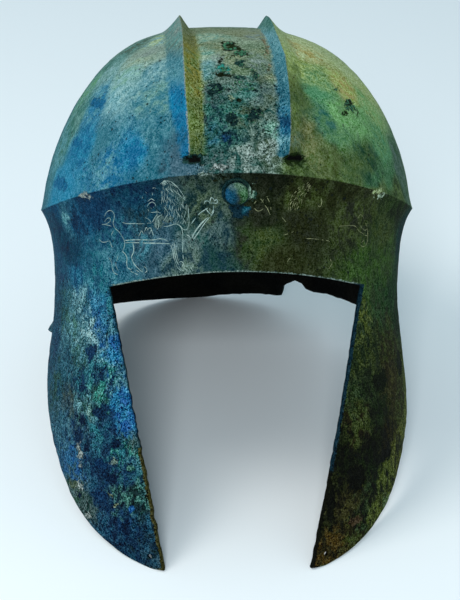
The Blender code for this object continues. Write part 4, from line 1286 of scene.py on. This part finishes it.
LION_FINE = (
    # tail
    ((-64.5, 66.6), (-62.6, 67.4), (-60.8, 69), (-61, 70.4), (-62.4, 70), (-63.6, 68.2)),
    ((-63.6, 70.8), (-62.6, 73), (-60.8, 74.2), (-59.2, 73.2), (-58.8, 71), (-59.4, 68.2), (-58.6, 65.8),
     (-56.4, 63.8), (-54.8, 61.4), (-54, 59.4), (-54.2, 57), (-54.9, 55.2)),
    ((-65, 66.8), (-62.6, 66.8), (-60.4, 66.4), (-59.4, 64.4), (-60.4, 62)),
    ((-66.4, 59.2), (-64.8, 58), (-62.8, 58.4), (-61.6, 59.2)), ((-61.2, 59.2), (-60.6, 57.6), (-60, 56)),
    # hind paws
    ((-57.2, 52.4), (-57.6, 50.6), (-58.3, 48.6), (-58, 46.8), (-57.1, 45.2)),
    ((-61.7, 51), (-60.6, 49.3), (-59.9, 46), (-59.3, 44), (-56.6, 42.8)),
    ((-45, 48.6), (-44, 48), (-43.5, 46.6), (-44.6, 45.4)), ((-46.6, 47.4), (-45.6, 46.8), (-45.4, 45.6)),
    ((-51.3, 45.6), (-49.6, 45), (-47.6, 44.2)), ((-48.8, 46.6), (-46.8, 45.4)),
    # back and ribs
    ((-55, 68.8), (-52.5, 68.5), (-49.8, 68.8), (-46, 69), (-43.4, 69.5), (-41.4, 69.6)),
    ((-47.4, 62.8), (-46.6, 64.4), (-45.9, 65.6), (-45, 64)), ((-44.6, 65.4), (-43.6, 67.4), (-42.6, 64.6)),
    ((-43.4, 66), (-42, 67.4), (-41.2, 66), (-40.4, 63.4)), ((-42.4, 64.2), (-41.4, 66.4)),
    # face, looking back
    ((-43.4, 77.4), (-42.4, 79), (-41, 79.8), (-39.9, 79.2), (-39.3, 78)),
    ((-43, 80), (-41.4, 81.3), (-39.9, 80.4)),
    ((-43, 76.4), (-42.6, 75.2), (-40.9, 74.8), (-38.6, 75.2), (-37, 74.6)), ((-41.7, 77), (-41.2, 76.6)),
    ((-40.6, 77.6), (-40.2, 77.2)), ((-41, 86.4), (-40, 86.8), (-39, 86.3)), ((-44, 84.6), (-43.6, 84)),
    ((-41, 84.4), (-40.9, 83)), ((-45.6, 82.2), (-45.4, 81.2)), ((-44.4, 72.2), (-42.4, 71.2), (-41.4, 69.8)),
    ((-38.8, 74), (-40, 72), (-41, 69.9)), ((-36.9, 85.4), (-36.4, 82), (-36.8, 79)),
    # outline of the mane
    ((-37.4, 88.8), (-35.4, 90.1), (-33.2, 90.3), (-31, 89), (-29.2, 87.2), (-27.4, 84.7), (-25.8, 81.9)),
    ((-24.7, 79.2), (-24.3, 76), (-24, 72.2), (-24.2, 69.6), (-24.8, 67.7), (-26, 67.3), (-27.4, 68.2),
     (-28.6, 69.4), (-30.2, 69.9), (-32, 69.3), (-33.9, 68.6), (-35.8, 68.4)),
    ((-38.6, 66.8), (-39.6, 68.8), (-39.3, 71.2), (-38, 73), (-36.2, 74.3)),
    ((-38.5, 66.8), (-37.9, 69.2), (-38.2, 71.6)), ((-39.2, 67.6), (-38.8, 70)),
    ((-35.6, 77.8), (-34.4, 76.2)),
    # forelegs and paws
    ((-31, 61.4), (-30.4, 58.4), (-29.5, 54.8), (-28.9, 52.2)),
    ((-32.4, 60), (-31.2, 56), (-30.9, 53.6), (-30, 51.2), (-29.2, 49.2), (-27.6, 47.8)),
    ((-28.6, 50.2), (-27.8, 48.6), (-26.4, 47.8)),
    ((-25.4, 49.8), (-24.2, 50.6), (-22.9, 49.4), (-22.3, 47.8)), ((-26, 49.2), (-24.6, 47.6)),
    ((-24.9, 50), (-23.8, 48.6), (-23, 47.4)), ((-25.2, 65), (-24, 64.4), (-23, 63.1)),
    ((-22.7, 64.6), (-20.2, 68.4), (-17.4, 72)), ((-13.9, 74.6), (-12.6, 76)), ((-14.2, 75), (-13.2, 74.2)),
)
# The mane lies in strands between its edge towards the face and its edge along the neck.
LION_MANE = (
    ((-36.6, 89.6), (-36.4, 86), (-36.2, 82), (-35.6, 78), (-35.4, 74.5), (-36, 70.6)),
    ((-35.6, 90.6), (-32.4, 90), (-29.4, 87.6), (-26.6, 83.4), (-25, 79), (-24.4, 74), (-24.4, 69)),
)

# The little that is left of the other lion, drawn as it stands.
WORN_LION = (
    ((35.6, 81), (36.5, 78.6), (38, 77.6), (38.6, 79.6), (38.4, 81.6)), ((36.6, 75.8), (37, 75.2)),
    ((6, 80), (8, 82.5), (10, 81), (10.5, 78), (8, 76.5), (6, 78)), ((12, 83), (13.5, 80), (14, 77)),
    ((9, 79.6), (10.6, 82.4), (12.4, 83.6)), ((11, 79.4), (12.4, 77.4), (13.6, 74.6)),
    ((19.3, 73.3), (20.3, 72.2), (21.3, 71)), ((20.5, 65), (23, 65.6), (25, 66.4)), ((22, 52), (23.5, 54)),
    ((31, 62.8), (36, 62.2), (42, 61), (43.5, 60.2)), ((43.8, 52), (44.6, 49.6), (43, 47.2)),
    ((57.2, 68.5), (59.5, 72), (62, 69), (63.7, 64.5), (64.3, 60.5), (63.7, 57), (61.8, 55.8), (60.2, 56.8)),
    ((58.3, 68.5), (60.8, 65)), ((61, 65), (62.5, 63.8), (63.6, 64.3)),
    ((48, 67.4), (52, 67.3), (55.4, 67), (57.2, 66.2), (59, 64), (60.7, 62.8), (62.8, 61.3), (64, 61)),
    ((59.9, 60), (60.7, 58.1), (61.7, 58.7), (62.7, 59.5), (63.2, 60.5)),
)
WORN_MANE = (
    ((33.2, 87), (31, 84), (29.2, 80.5), (28, 77)),
    ((31.5, 90), (27.5, 88), (24, 84), (22, 79.5), (21.8, 75.5)),
)


def rounded(stroke, spacing):
    """Points along a smooth curve through the stroke's own points."""
    through = [Vector(point) for point in stroke]
    ends = [2 * through[0] - through[1], *through, 2 * through[-1] - through[-2]]
    curve = []
    for a, b, c, d in zip(ends, ends[1:], ends[2:], ends[3:]):
        steps = max(1, round((c - b).length / spacing))
        for k in range(steps):
            t = k / steps
            bend = (2 * a - 5 * b + 4 * c - d) * t**2
            twist = (3 * b - a - 3 * c + d) * t**3
            curve.append(0.5 * (2 * b + (c - a) * t + bend + twist))
    return curve + [ends[-2]]


def mane(edges, strands, dash, draw):
    """Wavy strands laid between the mane's two edges, each cut in dashes about that long, in millimetres."""
    lines = [rounded(edge, 0.1) for edge in edges]
    even = np.linspace(0, 1, 49)
    across = list(zip(*([line[round(t * (len(line) - 1))] for t in even] for line in lines)))
    cuts = []
    for k in range(strands):
        share = (k + draw.uniform(0.35, 0.65)) / strands
        phase = draw.uniform(0, 6.28)
        strand = [a.lerp(b, share + 0.035 * math.sin(phase + 0.55 * i)) for i, (a, b) in enumerate(across)]
        start = 0
        while start < len(strand) - 2:
            step = (strand[start] - strand[start + 1]).length
            stop = start + max(3, round(dash * draw.uniform(0.6, 1.4) / step))
            cuts.append(strand[start:stop:2])
            start = stop + 1
    return [cut for cut in cuts if len(cut) > 1]


# A ribbon's section: how far aside as a share of its half width, and how far it stands up, in millimetres.
RIBBON = ((-1, -0.02), (0, 0.11), (1, -0.02))


def engrave(name, groups, gaps, material, seed):
    """Lays each group's strokes on the shell as thin ribbons of that group's width, in millimetres. They are
    sunk at their sides, waver in width and are broken by gaps."""
    shape = bmesh.new()
    all_strokes = [(stroke, width) for strokes, width in groups for stroke in strokes]
    for number, (stroke, width) in enumerate(all_strokes):
        curve = rounded(stroke, 0.45)
        last = None
        for k, place in enumerate(curve):
            here, normal = surface_at(face_of_shell, place.x * MM, place.y * MM)
            ahead = curve[min(k + 1, len(curve) - 1)] - curve[max(k - 1, 0)]
            along = Vector((ahead.x, 0, ahead.y)).normalized()
            aside = normal.cross(along).normalized()
            waver = noise.noise(here / (2.2 * MM) + Vector((seed, number, 0)))
            if waver < gaps:
                last = None
                continue
            taper = min(1, 0.35 + 0.5 * min(k, len(curve) - 1 - k))
            half = aside * width * MM * 0.5 * taper * (1 + 0.7 * waver)
            row = [shape.verts.new(here + half * share + normal * lift * MM) for share, lift in RIBBON]
            if last:
                for i in (0, 1):
                    shape.faces.new((last[i], row[i], row[i + 1], last[i + 1]))
            last = row
    bmesh.ops.delete(shape, geom=[v for v in shape.verts if not v.link_faces], context="VERTS")
    bmesh.ops.recalc_face_normals(shape, faces=shape.faces)
    mesh = mesh_of(shape, name)
    mesh.transform(rest)
    mesh.shade_smooth()
    lines = new_object(name, mesh, material)
    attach(lines, "root")


def mineral(name, pale, dark):
    """Chalky mineral in the cuts, uneven from place to place."""
    filling = Finish(name, Roughness=0.85, Specular_IOR_Level=0.2)
    uneven = filling.stretch(filling.noise(380, 3, 0.7), 0.36, 0.62)
    filling.feed(filling.surface, {"Base Color": filling.mix(uneven, dark, pale)})
    filling.bump([(filling.noise(1500, 2), 0.1)])
    return filling.material


draw = np.random.default_rng(21)
chalk_filling = mineral("chalk_filling", (0.31, 0.40, 0.36, 1), (0.12, 0.20, 0.19, 1))
groups = ((LION_DEEP, 0.42), (LION_FINE, 0.28), (mane(LION_MANE, 12, 3.6, draw), 0.22))
engrave("lion_engraving_right", groups, -0.55, chalk_filling, 1)
ochre_filling = mineral("ochre_filling", (0.30, 0.31, 0.16, 1), (0.07, 0.08, 0.04, 1))
groups = ((WORN_LION, 0.26), (mane(WORN_MANE, 7, 2.2, draw), 0.28))
engrave("lion_engraving_left", groups, -0.3, ochre_filling, 2)

# ---------------------------------------------------------------------------------------------------------
# Crust: warts of green copper mineral that have burst through the patina on the crown and on the bowl. They
# have grown fast to the bronze and stand proud of it. Their colour runs from nearly black at the foot to
# green
# at the top: painted shade in the crevices and a painted highlight on the tops.
# ---------------------------------------------------------------------------------------------------------

# Where the warts cluster: across and up, half spreads, how far the middle is left bare, how many, and the
# largest one's radius, in millimetres.
WARTS = (
    ("x", "z", "across", "tall", "bare", "count", "radius"),
    (-2.6, 151.5, 3.3, 1.8, 0.6, 40, 1.0), (1.8, 148.2, 3.4, 1.1, 0, 34, 0.9),
    (5, 149.3, 1.4, 0.5, 0, 8, 0.6), (1.5, 143.4, 1.5, 0.8, 0, 9, 0.6), (1.5, 145, 0.6, 0.4, 0, 3, 0.5),
    (-7, 141, 1.7, 1.2, 0, 14, 0.8), (6.6, 141, 0.9, 0.7, 0, 5, 0.6), (8.4, 138.4, 1.1, 1.8, 0, 9, 0.6),
    (-0.6, 137.6, 0.8, 0.5, 0, 4, 0.5), (1, 133.4, 5.5, 2.4, 0.2, 26, 0.6), (-10, 132, 3.6, 1.5, 0, 12, 0.5),
    (5.8, 132.3, 1.8, 0.6, 0, 8, 0.6), (0, 122, 10, 7, 0, 26, 0.5), (55, 124, 3.4, 3.4, 0, 26, 0.9),
    (50, 131, 3, 2, 0, 7, 0.6), (14, 150, 1.4, 5, 0, 6, 0.5),
)

draw = np.random.default_rng(33)
shape = bmesh.new()
proud = shape.verts.layers.float.new("proud")
for x, z, across, tall, bare, count, radius in WARTS[1:]:
    for _ in range(count):
        way, reach = draw.uniform(0, 2 * math.pi), math.sqrt(draw.uniform(bare, 1))
        wart_x, wart_z = x + across * reach * math.cos(way), z + tall * reach * math.sin(way)
        place, outwards = surface_at(face_of_shell, wart_x * MM, wart_z * MM)
        size = radius * MM * draw.uniform(0.35, 1)
        flat = draw.uniform(0.5, 0.9)
        spin = Matrix.Rotation(draw.uniform(0, 6.28), 4, "Z")
        stance = Matrix.Translation(place) @ outwards.to_track_quat("Z", "Y").to_matrix().to_4x4() @ spin
        made = bmesh.ops.create_icosphere(shape, subdivisions=2, radius=1)
        for v in made["verts"]:
            lump = 1 + 0.45 * noise.noise(v.co * 1.4 + place * 900)
            v[proud] = v.co.z * lump
            v.co = stance @ (Vector((v.co.x * size * 1.2, v.co.y * size * 0.85, v.co.z * size * flat)) * lump)
wart_mesh = mesh_of(shape, "crown_warts")
wart_mesh.transform(rest)
wart_mesh.shade_smooth()
malachite = Finish("malachite_crust", Specular_IOR_Level=0.2, Roughness=0.75)
uneven = malachite.stretch(malachite.noise(700, 4, 0.7), 0.35, 0.65, -0.45, 0.45)
# Painted shade and highlight: each wart darkens to near black at its foot and brightens at its top.
shade_to_highlight = malachite.stretch(malachite.math("ADD", malachite.laid("proud"), uneven), 0.3, 1.25)
green = malachite.mix(shade_to_highlight, (0.002, 0.008, 0.005, 1), (0.05, 0.20, 0.10, 1))
malachite.feed(malachite.surface, {"Base Color": green})
malachite.bump([(malachite.noise(1400, 3), 0.2)])
crown_warts = new_object("crown_warts", wart_mesh, malachite.material)
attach(crown_warts, "root")

# ---------------------------------------------------------------------------------------------------------
# Stage: a pale floor under a faint blue sky, with two soft lamps. One hangs above the wearer's right, and the
# other stands in front of the face side, higher than the helmet.
# ---------------------------------------------------------------------------------------------------------

shape = bmesh.new()
bmesh.ops.create_grid(shape, x_segments=1, y_segments=1, size=5)
floor_finish = Finish("pale_floor", Base_Color=(0.85, 0.88, 0.90, 1), Roughness=0.9, Specular_IOR_Level=0.1)
floor = new_object("floor", mesh_of(shape, "floor"), floor_finish.material)


def lamp(name, place, aim, size, watts, tint):
    light = bpy.data.lights.new(name, "AREA")
    light.size = size
    light.energy = watts
    light.color = tint
    hung = new_object(name, light)
    hung.location = place
    hung.rotation_euler = (Vector(aim) - Vector(place)).to_track_quat("-Z", "Y").to_euler()


lamp("key_lamp", (-0.9, -0.3, 1.4), (0, 0, 0.1), 0.7, 10.6, (1.0, 0.97, 0.92))
lamp("front_lamp", (-0.3, -1.75, 1.25), (0, 0, 0), 0.5, 24, (0.92, 0.975, 1.0))
sky = bpy.data.worlds.new("sky")
sky.use_nodes = True
glow = sky.node_tree.nodes["Background"].inputs
glow["Color"].default_value = (0.70, 0.90, 1.0, 1)
glow["Strength"].default_value = 0.6
bpy.context.scene.world = sky
bpy.context.scene.view_settings.view_transform = "Standard"

# The camera looks at the face side from a little above, as the helmet is worn, and so well above the floor.
VIEW_DISTANCE = 0.85
VIEW_HEIGHT = 0.157
VIEW_TURN = math.radians(3.6)
VIEW_DIP = math.radians(9.4)
VIEW_PAN = math.radians(-0.16114)
VIEW_ROLL = math.radians(0.3)
eye = Vector((-VIEW_DISTANCE * math.sin(VIEW_TURN), -VIEW_DISTANCE * math.cos(VIEW_TURN), VIEW_HEIGHT))
level = math.cos(VIEW_DIP)
sight = Vector((math.sin(VIEW_TURN) * level, math.cos(VIEW_TURN) * level, -math.sin(VIEW_DIP)))
sight.rotate(Matrix.Rotation(VIEW_PAN, 3, "Z"))
aimed = sight.to_track_quat("-Z", "Y").to_matrix().to_4x4() @ Matrix.Rotation(VIEW_ROLL, 4, "Z")
lens = bpy.data.cameras.new("camera")
lens.lens = 96
lens.sensor_width = 36
lens.clip_start = 0.01
lens.clip_end = 50
camera = new_object("camera", lens)
camera.matrix_world = rest @ Matrix.Translation(eye) @ aimed
bpy.context.scene.camera = camera
